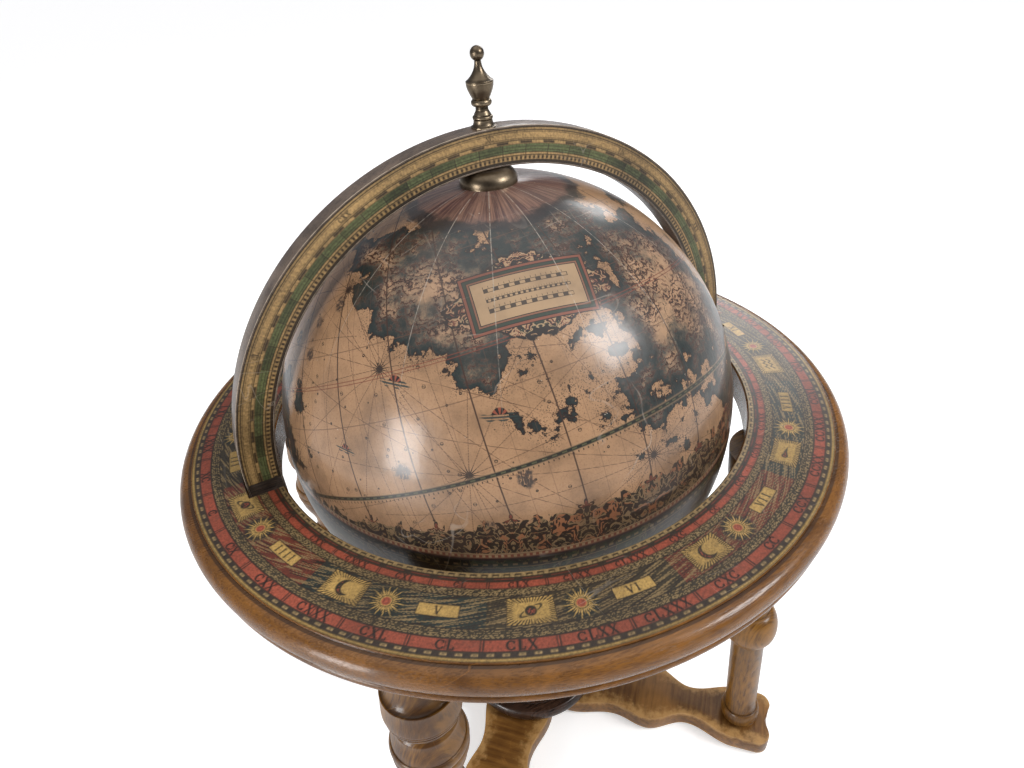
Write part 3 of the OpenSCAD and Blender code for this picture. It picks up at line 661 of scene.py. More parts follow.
def cut_boxes(piece, *boxes):
    """Takes boxes, given as (low corner, high corner), out of a closed mesh by a Boolean."""
    for low, high in boxes:
        corners = np.array([[x, y, z] for x in (0, 1) for y in (0, 1) for z in (0, 1)])
        mesh = bpy.data.meshes.new("cutter")
        faces = [(0, 1, 3, 2), (4, 6, 7, 5), (0, 4, 5, 1), (2, 3, 7, 6), (0, 2, 6, 4), (1, 5, 7, 3)]
        mesh.from_pydata((np.array(low) + corners * (np.array(high) - low)).tolist(), [], faces)
        cutter = bpy.data.objects.new("cutter", mesh)
        bpy.context.scene.collection.objects.link(cutter)
        cut = piece.modifiers.new("cut", "BOOLEAN")
        cut.object, cut.operation, cut.solver = cutter, "DIFFERENCE", "EXACT"
        graph = bpy.context.evaluated_depsgraph_get()
        piece.data = bpy.data.meshes.new_from_object(piece.evaluated_get(graph))
        piece.modifiers.clear()
        bpy.data.objects.remove(cutter)


def notch(side):
    """The box that a foot of the arch swings in, on the right for side 1 and the left for -1."""
    x = sorted((side * (HOLE_R - 10 * MM), side * NOTCH_OUT))
    return (x[0], NOTCH_FRONT, RING_Z - MM), (x[1], NOTCH_BACK, RING_TOP + MM)


ring = turned("ring_wood", ring_outline(), "stand", 360, closed=True)
cut_boxes(ring, notch(1), notch(-1))
ring.data.shade_smooth()
ring.data.set_sharp_from_angle(angle=math.radians(35))
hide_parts("horizon_ring")
print("ring has", len(ring.data.vertices), "points after the notches")

# %% [markdown]
# The globe's two halves are hollow balls. Each is one closed grid: up the outside to the pole and
# back down the inside, with a short fan at each pole. Near the hinge the rim is let in by the
# thickness of the hinge leaf, which a formula does by lifting the rim's points there.

# %% Bowl and lid shells
HINGE_W = 40 * MM
LEAF_BED = 1.25 * MM


def half_ball(name, up, body, node):
    """Outline of a hollow half ball: the outside at radius R and the inside at R - t, from pole
    to pole over the rim. r = R sin t and z = R cos t; the bowl runs it upside down."""
    tilt = np.linspace(0.004, np.pi / 2, 120)[:, None]
    ball = np.concatenate([np.sin(tilt), up * np.cos(tilt)], axis=1)
    outer, inner = ball * GLOBE_R, ball[:: 3] * (GLOBE_R - SHELL_T)
    inner[-1] = [GLOBE_R - SHELL_T, 0]
    shape = np.r_[inner, outer[::-1]] if up > 0 else np.r_[outer, inner[::-1]]

    def let_in_hinge(p):
        near = (np.abs(p[:, 0]) < HINGE_W / 2 + 0.1 * MM) & (p[:, 1] > 0.1)
        lifted = np.maximum(p[:, 2], LEAF_BED) if up > 0 else np.minimum(p[:, 2], -LEAF_BED)
        return np.c_[p[:, :2], np.where(near, lifted, p[:, 2]) + SEAM_Z]

    shell = turned(name, shape, body, 360, place=let_in_hinge)
    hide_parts(node)
    return shell


lid = half_ball("lid_map", 1, "lid", "lid_shell")
bowl = half_ball("bowl_map", -1, "stand", "bowl_shell")

# %% [markdown]
# The printed sheet on the ring is the piece that is looked at most closely, so its artwork is not
# left to a texture: every point of a fine grid stores its own ink. The grid is made of four parts
# that meet edge to edge. The two inner ones end at the notches, where each row of points is
# spread between two straight cuts, and the outer ones go all the way round.

# %% Grids for the printed sheet
SHEET_T = 0.6 * MM
SHEET_HOLE = HOLE_R + 0.8 * MM
STRIP_R = 178 * MM
GRAIN = 0.46 * MM


def sheet_strip(r0, r1, start=None, end=None):
    """Top grid over (r, a) with sides and a flat underside. start and end give the angle at which
    a row of radius r begins and stops; without them the strip is a full ring."""
    r = np.linspace(r0, r1, int(round((r1 - r0) / GRAIN)) + 1)
    full = start is None
    span = 2 * np.pi if full else np.pi
    columns = int(span * (r0 + r1) / 2 / GRAIN)
    u = np.linspace(0, 1, columns, endpoint=not full)[None, :]
    profile_r = np.r_[r0, r, r1][:, None]
    profile_z = np.r_[RING_TOP - SHEET_T, np.full(len(r), RING_TOP), RING_TOP - SHEET_T][:, None]
    first = 0.0 if full else start(profile_r)
    last = 2 * np.pi if full else end(profile_r)
    angle = first + (last - first) * u
    points = np.stack([profile_r * np.cos(angle), profile_r * np.sin(angle),
                       profile_z + 0 * angle], axis=-1)
    faces = grid_faces(len(profile_r), columns, wrap_rows=True, wrap_columns=full)[:, ::-1]
    faces = [list(f) for f in faces]
    if not full:
        rows = np.arange(len(profile_r)) * columns
        faces += [list(rows), list(rows[::-1] + columns - 1)]
    return points.reshape(-1, 3), faces


def cut_angle(y, side, turns=0):
    """The angle at which a circle of radius r meets the straight cut y = const, on the right for
    side 1 and on the left for -1, with whole turns added."""
    def angle(r):
        bend = np.arcsin(np.clip(y / r, -1, 1))
        return (bend if side > 0 else np.pi - bend) + 2 * np.pi * turns
    return angle


sheet_parts = {
    "print_inner_back": sheet_strip(SHEET_HOLE, NOTCH_OUT, cut_angle(NOTCH_BACK, 1),
                                    cut_angle(NOTCH_BACK, -1)),
    "print_inner_front": sheet_strip(SHEET_HOLE, NOTCH_OUT, cut_angle(NOTCH_FRONT, -1),
                                     cut_angle(NOTCH_FRONT, 1, turns=1)),
    "print_middle": sheet_strip(NOTCH_OUT, STRIP_R),
    "print_outer": sheet_strip(STRIP_R, PRINT_R - 0.05 * MM),
}
print({name: len(points) for name, (points, faces) in sheet_parts.items()})

# %% [markdown]
# Ink is laid as a painter would, from the paper up: each step lays a colour over what is there,
# as strongly as a mask says. A mask comes from a distance: how far a point lies from a line, a
# disc or a stroke. `soft` turns that distance into an edge about one grid step wide. A `Sheet`
# holds the ink of every point and knows where the point lies, across its bands and along them.

# %% Brushes
PAPER = np.array([0.50, 0.36, 0.17])
INK = np.array([0.020, 0.014, 0.010])
RED = np.array([0.30, 0.070, 0.040])
TEAL = np.array([0.018, 0.030, 0.027])
GOLD = np.array([0.46, 0.31, 0.10])
OLIVE = np.array([0.040, 0.032, 0.018])


def soft(distance, width=0.45):
    """1 where the distance is below zero, 0 above, with an edge of the given width in mm."""
    return np.clip(0.5 - distance / width, 0, 1)


def stroke(x, y, x0, y0, x1, y1, width):
    """Distance to a straight stroke from (x0, y0) to (x1, y1), less half its width."""
    dx, dy = x1 - x0, y1 - y0
    share = np.clip(((x - x0) * dx + (y - y0) * dy) / (dx * dx + dy * dy), 0, 1)
    return np.hypot(x - x0 - share * dx, y - y0 - share * dy) - width / 2


def box_edge(x, y, half_x, half_y):
    """Distance to the sides of an upright box, negative inside."""
    return np.maximum(np.abs(x) - half_x, np.abs(y) - half_y)


class Sheet:
    """Printed bands. across is a point's place over the bands and radius the length of a radian
    there, both in mm, and degrees is its place along them."""

    def __init__(self, across, degrees, radius, paper):
        self.across, self.degrees, self.radius = across, degrees, radius
        self.ink = np.tile(paper, (len(across), 1))

    def lay(self, mask, colour, where=slice(None)):
        """Covers a share of the ink, on all points or on some: ink (1 - mask) + colour mask."""
        mask = np.clip(mask, 0, 1)[..., None]
        self.ink[where] = self.ink[where] * (1 - mask) + np.asarray(colour) * mask

    def within(self, low, high):
        """1 between two places across the sheet, 0 elsewhere."""
        return soft(low - self.across) * soft(self.across - high)

    def band(self, low, high, colour, step=None, share=1.0, shift=0.0):
        """Prints a plain band or, with a step in degrees, marks that fill a share of each step."""
        mask = self.within(low, high)
        if step is not None:
            phase = ((self.degrees + shift) / step) % 1
            width = np.radians(step) * self.radius
            mask = mask * soft((np.abs(phase - 0.5) - share / 2) * width)
        self.lay(mask, colour)

    def lines(self, places, half, colour=INK):
        """Thin lines along the sheet, half a width to either side of each place."""
        for place in places:
            self.lay(soft(np.abs(self.across - place) - half), colour)


def roughness_of(a, b, seed, waves=14, low=0.4, high=3.0):
    """Smooth random values over (a, b) in mm: a sum of plane waves with seeded directions."""
    rng = np.random.default_rng(seed)
    total = np.zeros(np.shape(a + b))
    for _ in range(waves):
        turn, pace, shift = rng.uniform(0, 2 * np.pi), rng.uniform(low, high), rng.uniform(0, 6.28)
        total = total + np.sin((a * np.cos(turn) + b * np.sin(turn)) * pace + shift)
    return total / math.sqrt(waves / 2)

# %% [markdown]
# Numbers on old rings and dials are Roman. Each letter is a few strokes, thick one way and thin the
# other as a pen makes them, with short serifs at the ends. A font would need text objects laid on
# the sheet; strokes go straight into the ink.

# %% Numerals
ROMAN = ((100, "C"), (90, "XC"), (50, "L"), (40, "XL"), (10, "X"), (9, "IX"), (5, "V"), (1, "I"))


def roman(number):
    """Roman numerals with four strokes for four, as on a clock face."""
    text = ""
    for value, letters in ROMAN:
        text += letters * (number // value)
        number %= value
    return text


def numeral(x, y, text, height, pitch, bold):
    """Roman numerals, letter by letter: thick and thin strokes with small serifs. x and y are in
    mm from the middle of the word. Returns the distance to the nearest stroke."""
    near = np.full(np.shape(x), 9.0)
    h = height / 2
    thin = bold * 0.62
    for k, letter in enumerate(text):
        u = x - (k - (len(text) - 1) / 2) * pitch
        w = h * 0.62
        if letter == "I":
            parts = [(0, -h, 0, h, bold)]
            feet = [(0, -h), (0, h)]
        elif letter == "V":
            parts = [(-w, h, 0, -h, bold), (w, h, 0, -h, thin)]
            feet = [(-w, h), (w, h)]
        elif letter == "X":
            parts = [(-w, h, w, -h, bold), (w, h, -w, -h, thin)]
            feet = [(-w, h), (w, h), (-w, -h), (w, -h)]
        elif letter == "L":
            parts = [(-w * 0.7, -h, -w * 0.7, h, bold), (-w * 0.7, -h, w, -h, thin),
                     (w, -h, w, -h * 0.5, thin)]
            feet = [(-w * 0.7, h)]
        else:
            turn = np.arctan2(y, u)
            stem = bold * (0.3 + 0.25 * np.abs(np.cos(turn)))
            bow = np.abs(np.hypot(u / 0.85, y) - h * 0.95) - stem
            near = np.minimum(near, np.where(np.abs(turn) < 0.7, 9.0, bow))
            parts = [(w, h * 0.9, w, h * 0.45, thin), (w, -h * 0.9, w, -h * 0.5, thin)]
            feet = []
        for part in parts:
            near = np.minimum(near, stroke(u, y, *part))
        for fx, fy in feet:
            near = np.minimum(near, stroke(u, y, fx - h * 0.3, fy, fx + h * 0.3, fy, thin * 0.8))
    return near


print("numerals", [roman(number) for number in (1, 4, 9, 40, 90, 360)])

# %% [markdown]
# The signs are plain emblems: a moon, a star, a comet, a planet and waves. Each one is a distance
# again, made of circles, angles and a sine, so that it prints sharp at any size.

# %% Emblems and rays
def burst(x, y, rays, r0, r1, sharp=1.0):
    """Mask of a sun's rays: thin wedges that end in points, long and short by turns."""
    turn = np.arctan2(y, x) / (2 * np.pi) * rays
    off = np.abs(turn - np.round(turn)) * 2
    reach = np.where(np.round(turn).astype(int) % 2 == 0, r1, r0 + (r1 - r0) * 0.62)
    r = np.hypot(x, y)
    taper = np.clip((reach - r) / (reach - r0 + 1e-6), 0, 1)
    return np.clip((taper * sharp - off) * 2.5, 0, 1) * (r > r0 * 0.6)


def emblem(kind, x, y):
    """Distance to one of five plain emblems, by number: moon, star, comet, planet, waves."""
    r = np.hypot(x, y)
    turn = np.arctan2(y, x)
    if kind == 0:
        return np.maximum(r - 4.4, 3.6 - np.hypot(x - 2.0, y - 0.6))
    if kind == 1:
        return r - 2.2 - 2.4 * np.clip(np.cos(turn * 6), 0, 1) ** 1.5
    if kind == 2:
        tail = np.abs(y + 0.03 * x * x) - 0.16 * (5.2 - x)
        return np.minimum(np.hypot(x + 3.2, y) - 1.7, np.where((x > -3) & (x < 5.2), tail, 9))
    if kind == 3:
        halo = np.abs(np.hypot(x * 0.87 + y * 0.5, (y * 0.87 - x * 0.5) / 0.3) - 5.4) - 0.7
        return np.minimum(r - 2.7, np.maximum(halo * 0.5, 2.9 - r))
    swell = 0.8 * np.sin(x * 1.5)
    waves = np.minimum(np.abs(y - 1.6 - swell), np.abs(y + 1.6 - swell))
    return np.maximum(waves - 0.55, np.abs(x) - 5.6)

# %% [markdown]
# The sheet is a calendar in rings: checked scales at both edges, two red rings with numerals, two
# rings of small engraving, and in the middle twelve signs of the sky. A row of the table is a band
# from one radius to another, counted from the hole in mm, and where it has marks, their step.

# %% The sheet's bands
ENGRAVED_BANDS = ((9.9, 13.6), (30.8, 35.1))
RED_BANDS = ((5.8, 9.6, 2.7, 3.3, 0.8), (35.5, 41.2, 4.2, 4.5, 1.1))
SCALE_BANDS = (
    (0.8, 3.4, PAPER * 0.62), (1.6, 2.4, INK, 2, 0.62), (2.6, 3.1, INK, 1, 0.3),
    (3.5, 5.6, INK * 1.6), (4.2, 4.8, RED * 0.5, 5, 0.7),
    (41.5, 44.0, INK * 1.8), (42.1, 43.3, PAPER * 0.75, 2, 0.46), (42.5, 42.9, INK, 2, 0.2),
    (44.2, 46.0, GOLD * 0.42), (44.7, 45.2, GOLD),
)


def paint_bands(sheet, stain):
    """Gold engraving on dark, red bands with pairs of strokes each 10 degrees, checked scales."""
    flow = np.radians(sheet.degrees) * sheet.radius
    curl = roughness_of(flow, sheet.radius, 11, 30, 2.2, 5.5)
    for low, high in ENGRAVED_BANDS:
        level = (sheet.across - low) / (high - low) * 4
        small = sheet.within(low, high) * (curl > 0.1) * (np.abs(level % 1 - 0.5) < 0.40)
        sheet.lay(small * 0.85, PAPER * 0.58)
        sheet.lines((low, high), 0.12)
    for low, high, *_ in RED_BANDS:
        sheet.band(low, high, RED * (1 + 0.12 * stain))
        sheet.lines((low + 0.1, high - 0.1), 0.16)
        sheet.band(low, high, INK, 10, 0.018, 5)
        sheet.band(low, high, INK, 10, 0.018, 5.4)
        sheet.band(low + 0.7, high - 0.7, INK, 5, 0.03, 2.5)
    for row in SCALE_BANDS:
        sheet.band(*row)


def paint_numerals(sheet):
    """Tens of degrees on both red bands, counted anticlockwise from the back."""
    for low, high, tall, pitch, bold in RED_BANDS:
        middle = (low + high) / 2
        mask = sheet.within(low, high)
        for k in range(36):
            here = np.floor(sheet.degrees / 10) == k
            x = np.radians(sheet.degrees[here] % 10 - 5) * (middle + HOLE_R / MM)
            y = middle - sheet.across[here]
            word = numeral(x, y, roman(10 * ((k + 27) % 36 + 1)), tall, pitch, bold)
            sheet.lay(mask[here] * soft(word), INK * 0.7, here)

# %% [markdown]
# Each of the twelve sectors holds a panel with an emblem, a sunburst and a plaque with its number,
# on a ground of leaves. All are laid at once on the whole ring, because x is counted in every
# sector from its own ornament.

# %% The sheet's signs
SIGN_BAND = (14.0, 30.4)
SIGN_GROUNDS = np.array([RED * 0.45, TEAL, OLIVE])
PANEL_AT, BURST_AT, PLAQUE_AT = 6.6, 14.2, 22.6


def paint_panel(sheet, field, x, y, sector, stain, fine):
    """A gold panel with a hatched border and the sector's emblem."""
    panel = box_edge(x, y, 10.6, 7.0)
    sheet.lay(field * soft(panel), GOLD * (0.9 + 0.1 * stain))
    hatch = np.abs(((np.arctan2(y * 1.5, x) / (2 * np.pi) * 44) % 1) - 0.5) * 2
    border = soft(panel) * soft(-panel - 2.7)
    sheet.lay(field * border * np.clip((hatch - 0.45) * 4, 0, 1), INK * 1.5)
    for kind in range(5):
        here = (sector * 2 + sector // 4) % 5 == kind
        shape = emblem(kind, x, y)
        sheet.lay(field * soft(shape) * here, OLIVE * 0.8)
        sheet.lay(field * soft(shape + 0.9) * (fine > 0.2) * here, RED * 0.8)
    sheet.lay(field * soft(np.abs(panel) - 0.2), INK)


def paint_burst(sheet, field, x, y):
    """A dark halo, gold rays, and rings of ink, gold and red at the heart."""
    disc = np.hypot(x, y)
    sheet.lay(field * soft(disc - 8.2, 2.5) * 0.9, TEAL * 0.6)
    sheet.lay(field * burst(x, y, 28, 2.6, 9.6, 1.15), GOLD * 1.2)
    for reach, colour in ((3.2, INK), (2.8, GOLD), (2.2, RED * 1.3)):
        sheet.lay(field * soft(disc - reach), colour)
    sheet.lay(field * soft(np.abs(disc - 1.3) - 0.1), INK)


def paint_plaque(sheet, field, x, y, sector, stain):
    """A gold plaque with the sector's number, counted anticlockwise from the back."""
    plaque = box_edge(x, y, 9.4, 2.9)
    sheet.lay(field * soft(plaque - 0.5), INK)
    sheet.lay(field * soft(plaque), GOLD * (1.0 + 0.1 * stain))
    for k in range(12):
        here = sector == k
        word = numeral(x[here], y[here], roman((k + 9) % 12 + 1), 4.0, 3.6, 0.85)
        sheet.lay(field[here] * soft(word), INK, here)


def paint_signs(sheet, stain, fine):
    """Twelve sectors of 30 degrees on three grounds by turns, each with its three ornaments."""
    middle = sum(SIGN_BAND) / 2
    sector = np.floor(sheet.degrees / 30).astype(int)
    within = sheet.degrees - sector * 30
    y = middle - sheet.across
    field = sheet.within(*SIGN_BAND)
    leaf = roughness_of(np.radians(sheet.degrees) * sheet.radius, y, 21, 26, 0.7, 2.2)
    sheet.lay(field, SIGN_GROUNDS[sector % 3])
    sheet.lay(field * np.clip((leaf - 0.35) * 3, 0, 1) * 0.8, PAPER * 0.55)
    sheet.lay(field * np.clip((-leaf - 0.9) * 3, 0, 1), INK)

    def x_from(degrees):
        return np.radians(within - degrees) * (middle + HOLE_R / MM)

    paint_panel(sheet, field, x_from(PANEL_AT), y, sector, stain, fine)
    paint_burst(sheet, field, x_from(BURST_AT), y)
    paint_plaque(sheet, field, x_from(PLAQUE_AT), y, sector, stain)
    sheet.lines((SIGN_BAND[0] - 0.1, SIGN_BAND[1] + 0.1), 0.2)

# %% [markdown]
# Now the whole sheet, from the olive paper up. Real prints aren't even: the paper is stained in
# slow clouds, and in the end the colour of every spot drifts a little.

# %% Painting the ring's sheet
def paint_ring(points):
    """Ink for points on the ring's sheet. Bands are counted outwards from the hole, in mm."""
    radius = np.hypot(points[:, 0], points[:, 1]) / MM
    degrees = np.degrees(np.arctan2(points[:, 1], points[:, 0])) % 360
    fine = roughness_of(points[:, 0] / MM, points[:, 1] / MM, 5, 40, 1.5, 5.5)
    stain = roughness_of(points[:, 0] / MM, points[:, 1] / MM, 6, 12, 0.02, 0.15)[:, None]
    sheet = Sheet(radius - HOLE_R / MM, degrees, radius, OLIVE)
    sheet.ink *= 1 + 0.15 * stain
    paint_bands(sheet, stain)
    paint_signs(sheet, stain, fine)
    paint_numerals(sheet)
    return np.clip(sheet.ink * (1 + 0.10 * fine[:, None]), 0.004, 1)


sheets = []
for name, (points, faces) in sheet_parts.items():
    part = add_mesh(name, points, faces, "stand", 30)
    add_ink(part, paint_ring(points))
    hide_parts("horizon_print")
    sheets.append(part)

# %% [markdown]
# The arch is a flat section carried round half a circle and then straight down into the notches.
# Both faces are sunk a little between two lips, where the printed scales lie.

# %% Meridian arch
ARCH_LIP = 0.8 * MM
ARCH_FACE = ARCH_T / 2 - 0.4 * MM


def arch_path(steps):
    """Directions and centres along the arch: straight up the right foot, half a turn, and down.
    Returns the outward unit vector and the point at radius 0 for each step."""
    turn = np.linspace(0, np.pi, steps)
    out = np.c_[np.cos(turn), 0 * turn, np.sin(turn)]
    base = np.tile([0, 0, SEAM_Z], (steps, 1)).astype(float)
    foot = np.array([0, 0, ARCH_FOOT])
    return np.r_[[[1, 0, 0]], out, [[-1, 0, 0]]], np.r_[[foot], base, [foot]]


def arch_body(name, section, steps=240):
    """Carries a closed section of (radius, depth) points along the arch and closes both feet."""
    out, base = arch_path(steps)
    points = base[:, None] + out[:, None] * section[None, :, :1]
    points[..., 1] += section[None, :, 1]
    faces = [list(f) for f in grid_faces(len(out), len(section), wrap_columns=True)]
    count = len(section)
    faces += [list(range(count))[::-1], list(range((len(out) - 1) * count, len(out) * count))]
    piece = add_mesh(name, points, faces, "lid", 35)
    add_value(piece, "wear_patina_and_shade", np.tile(outward_bend(section, True), len(out)))
    return piece


lip, face, half_t = ARCH_LIP, ARCH_FACE, ARCH_T / 2
arch_section = round_corners(np.array([
    [ARCH_IN, -half_t], [ARCH_IN + lip, -half_t], [ARCH_IN + lip, -face], [ARCH_OUT - lip, -face],
    [ARCH_OUT - lip, -half_t], [ARCH_OUT, -half_t], [ARCH_OUT, half_t], [ARCH_OUT - lip, half_t],
    [ARCH_OUT - lip, face], [ARCH_IN + lip, face], [ARCH_IN + lip, half_t], [ARCH_IN, half_t],
]), 0.5 * MM, closed=True, steps=4)
arch = arch_body("arch_wood", arch_section)
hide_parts("meridian_arch")

# %% [markdown]
# The arch's scales are separate thin sheets in the sunk faces, painted like the ring's: degrees
# in checks, a green band, and a band with a numeral each 30 degrees.

# %% Scales on the arch
SCALE_Z = RING_TOP + 1.05 * MM
SCALE_T = 0.35 * MM
SCALE_INSET = 0.85 * MM
SCALE_ROWS, SCALE_STEPS = 42, 1100
CREAM, GREEN = np.array([0.40, 0.27, 0.115]), np.array([0.088, 0.110, 0.044])
BROWN = np.array([0.035, 0.024, 0.014])


def scale_sheet(name, side, node):
    """A thin closed sheet over (radius, angle) on the front, side -1, or the back, side 1. It
    starts where the scale leaves the ring's top. The border of both grids is joined by quads."""
    rows, steps = SCALE_ROWS, SCALE_STEPS
    radius = np.linspace(ARCH_IN + SCALE_INSET, ARCH_OUT - SCALE_INSET, rows)[:, None]
    start = np.arcsin((SCALE_Z - SEAM_Z) / radius)
    angle = start + (np.pi - 2 * start) * np.linspace(0, 1, steps)[None, :]
    top_y = side * (ARCH_T / 2 - 0.02 * MM)
    layers = [np.stack([radius * np.cos(angle), y + 0 * angle, SEAM_Z + radius * np.sin(angle)], -1)
              for y in (top_y, top_y - side * SCALE_T)]
    count = rows * steps
    rim = np.r_[np.arange(steps), np.arange(1, rows) * steps + steps - 1,
                (rows - 1) * steps + np.arange(steps - 2, -1, -1), np.arange(rows - 2, 0, -1) * steps]
    sides = np.c_[rim, rim + count, np.roll(rim, -1) + count, np.roll(rim, -1)]
    faces = np.r_[grid_faces(rows, steps), grid_faces(rows, steps)[:, ::-1] + count, sides]
    piece = add_mesh(name, np.stack(layers), faces[:, ::-side], "lid", 30)
    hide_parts(node)
    return piece


def paint_arch(points):
    """Ink for the arch: bands by radius, counted outwards in mm, and divisions by angle."""
    across = (np.hypot(points[:, 0], points[:, 2] - SEAM_Z) - ARCH_IN) / MM
    degrees = np.degrees(np.arctan2(points[:, 2] - SEAM_Z, points[:, 0]))
    fine = roughness_of(points[:, 0] / MM, points[:, 2] / MM, 31, 30, 1.2, 5)[:, None]
    stain = roughness_of(points[:, 0] / MM, points[:, 2] / MM, 32, 12, 0.03, 0.2)[:, None]
    sheet = Sheet(across, degrees, ARCH_IN / MM + across, BROWN)
    for row in (
        (2.4, 17.6, CREAM), (2.6, 4.4, BROWN, 1, 0.5), (4.5, 5.0, BROWN * 0.6),
        (4.9, 5.9, BROWN, 5, 0.03), (6.0, 10.3, GREEN * (1 + 0.2 * stain)),
        (6.0, 10.3, GREEN * 1.35, 10, 0.5), (6.0, 6.5, BROWN * 1.4, 5, 0.5, 2.5),
    ):
        sheet.band(*row)
    for low in (5.9, 7.2, 8.8, 10.2):
        sheet.lay(sheet.within(low, low + 0.4) * 0.8, BROWN * 0.6)
    sheet.band(6.0, 10.3, BROWN, 5, 0.03)
    sheet.band(10.8, 11.9, BROWN * 0.8, 5, 0.5)
    for low in (12.9, 16.1):
        sheet.lay(sheet.within(low, low + 0.35) * 0.7, BROWN)
    for low in (12.1, 16.8):
        sheet.band(low, low + 0.5, BROWN * 0.6)
    sheet.band(12.5, 16.8, BROWN, 30, 0.004, 15)
    middle = 14.6
    for k in range(1, 6):
        x = -np.radians(degrees - 30 * k) * (ARCH_IN / MM + middle)
        word = numeral(x, across - middle, roman(30 * k), 2.3, 2.3, 0.5)
        sheet.lay(sheet.within(12.4, 16.9) * soft(word), INK)
    sheet.band(17.6, 18.2, CREAM * 0.8)
    return np.clip(sheet.ink * (1 + 0.12 * fine + 0.12 * stain), 0.004, 1)


scales = [scale_sheet("arch_scale_front", -1, "meridian_scale_front"),
          scale_sheet("arch_scale_back", 1, "meridian_scale_back")]
for scale in scales:
    add_ink(scale, paint_arch(points_of(scale)))

# %% [markdown]
# The cap and the finial on the pole are small brass turnings, cast and then aged. They get the
# most columns for their size, because their bright edges show every flat.

# %% Cap and finial
CAP_R = 15.4
CAP_TOP = ARCH_IN / MM - 0.3
CAP_LOW = math.sqrt((GLOBE_R / MM) ** 2 - CAP_R**2) - 2
FINIAL_Z = SEAM_Z + ARCH_OUT
BASE_D, URN_D, KNOB_D = 12.8, 13.6, 6.9
FINIAL_H = (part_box("finial")[1].z - FINIAL_Z) / MM


def above_globe(p, gap=0.05 * MM):
    """Lifts any point inside the globe on to it: z = seam + sqrt(R^2 - r^2)."""
    r2 = np.minimum(p[:, 0] ** 2 + p[:, 1] ** 2, GLOBE_R**2)
    return np.c_[p[:, :2], np.maximum(p[:, 2], SEAM_Z + np.sqrt(GLOBE_R**2 - r2) + gap)]


cap_shape = outline(
    [[3, CAP_LOW], [CAP_R * 0.5, CAP_LOW], [CAP_R - 1, CAP_LOW], [CAP_R, CAP_LOW + 0.6],
     [CAP_R, CAP_LOW + 3.0]],
    arc(CAP_R - 7, CAP_LOW + 3.4, 7, 2, 81, 20, squash=(CAP_TOP - CAP_LOW - 3.4) / 7),
    [[CAP_R - 8, CAP_TOP], [1, CAP_TOP]],
)
cap = turned("pole_cap_brass", cap_shape + (0, SEAM_Z), "lid", 128, place=above_globe)
base_r, urn_r, knob_r = BASE_D / 2, URN_D / 2, KNOB_D / 2
knob_z = FINIAL_H - knob_r
quarter = np.linspace(0, np.pi / 2, 10)
urn_u = np.linspace(0, 1, 12)
spire = np.linspace(0.06, 1, 16)
finial_shape = outline(
    [[0.5, 0], [base_r, 0]],
    np.c_[base_r - 1.6 * np.sin(quarter), 3.6 - 3.0 * np.cos(quarter)],
    [[base_r - 2, 3.8]],
    bead(3.8, 5.6, base_r - 1.9, 0.7, 9),
    run(5.6, 8.6, base_r - 2, 3.2, 8),
    [[3.2, 10]],
    bead(10, 13.4, 3.6, 1.6, 12),
    np.c_[4.2 + (urn_r - 4.2) * np.sin(urn_u * np.pi / 2), 13.4 + 7.6 * urn_u],
    bead(21.0, 21.8, urn_r - 0.3, 0.3, 7),
    np.c_[knob_r * 0.48 + (urn_r - 0.5 - knob_r * 0.48) * (1 - spire) ** 2.2,
          21.8 + (knob_z - knob_r + 0.4 - 21.8) * spire],
    arc(0, knob_z, knob_r, -61, 89, 20),
)
finial = turned("finial_brass", finial_shape + (0, FINIAL_Z), "lid", 96, smooth_angle=50)
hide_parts("pole_cap")
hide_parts("finial")

# %% [markdown]
# Wood, print and brass share four effects. Grain is noise on a place that each wood stretches its
# own way. Wear lifts the finish at outer edges, where the stored bend is high. Scratches are the
# thin lines where a noise passes its middle value. Grime is a slow dark cloud.

# %% Shared effects
def grain_formula(tree, fields):
    """Rings of growth from a coarse noise, and pores from one that is longest along x."""
    rings = noise(tree, fields["At"], fields["Scale"], 5, 0.6, Distortion=1.2)
    pores = noise(tree, fields["At"].scaled(0.6, 7.0, 7.0), fields["Scale"] * 5.0, 3, 0.6)
    tone = (rings * 0.7 + pores * 0.5 - 0.1).between(0.32, 0.72)
    return {"Tone": tone, "Pores": pores.between(0.34, 0.5)}


def wear_formula(tree, fields):
    """Edges rubbed bare: the bend stored on the points, broken up by a cloud."""
    cloud = noise(tree, fields["At"], 160.0, 4, 0.65)
    mask = (fields["Bend"] * fields["Amount"] + (cloud - 0.5) * 0.9).between(0.35, 0.75)
    return {"Mask": mask}


def scratch_formula(tree, fields):
    """Hairlines: the thin band where a stretched and bent noise passes its middle value."""
    bent = noise(tree, fields["At"], 14.0, 2, 0.5, out=1)
    course = fields["At"].vector("ADD", bent.scaled(0.012))
    first = noise(tree, course.scaled(1.0, 0.12, 0.5), fields["Scale"], 2, 0.4)
    second = noise(tree, course.scaled(0.15, 1.0, 0.9), fields["Scale"] * 1.3, 2, 0.4)
    here = noise(tree, fields["At"], 28.0, 3, 0.6).between(0.50, 0.68)
    lines = (first - 0.5).line(0.006).most((second - 0.5).line(0.005))
    return {"Mask": lines * here}


def grime_formula(tree, fields):
    """A slow cloud, 0 where clean and 1 where dark."""
    cloud = noise(tree, fields["At"], fields["Scale"], 6, 0.62)
    return {"Mask": cloud.between(0.42, 0.75)}


grain = new_group("wood_grain", ["At", "Scale"], ["Tone", "Pores"], grain_formula)
worn = new_group("worn_edges", ["At", "Bend", "Amount"], ["Mask"], wear_formula)
scratched = new_group("hairline_scratches", ["At", "Scale"], ["Mask"], scratch_formula)
grimy = new_group("grime", ["At", "Scale"], ["Mask"], grime_formula)
print("groups", [g.name for g in bpy.data.node_groups])
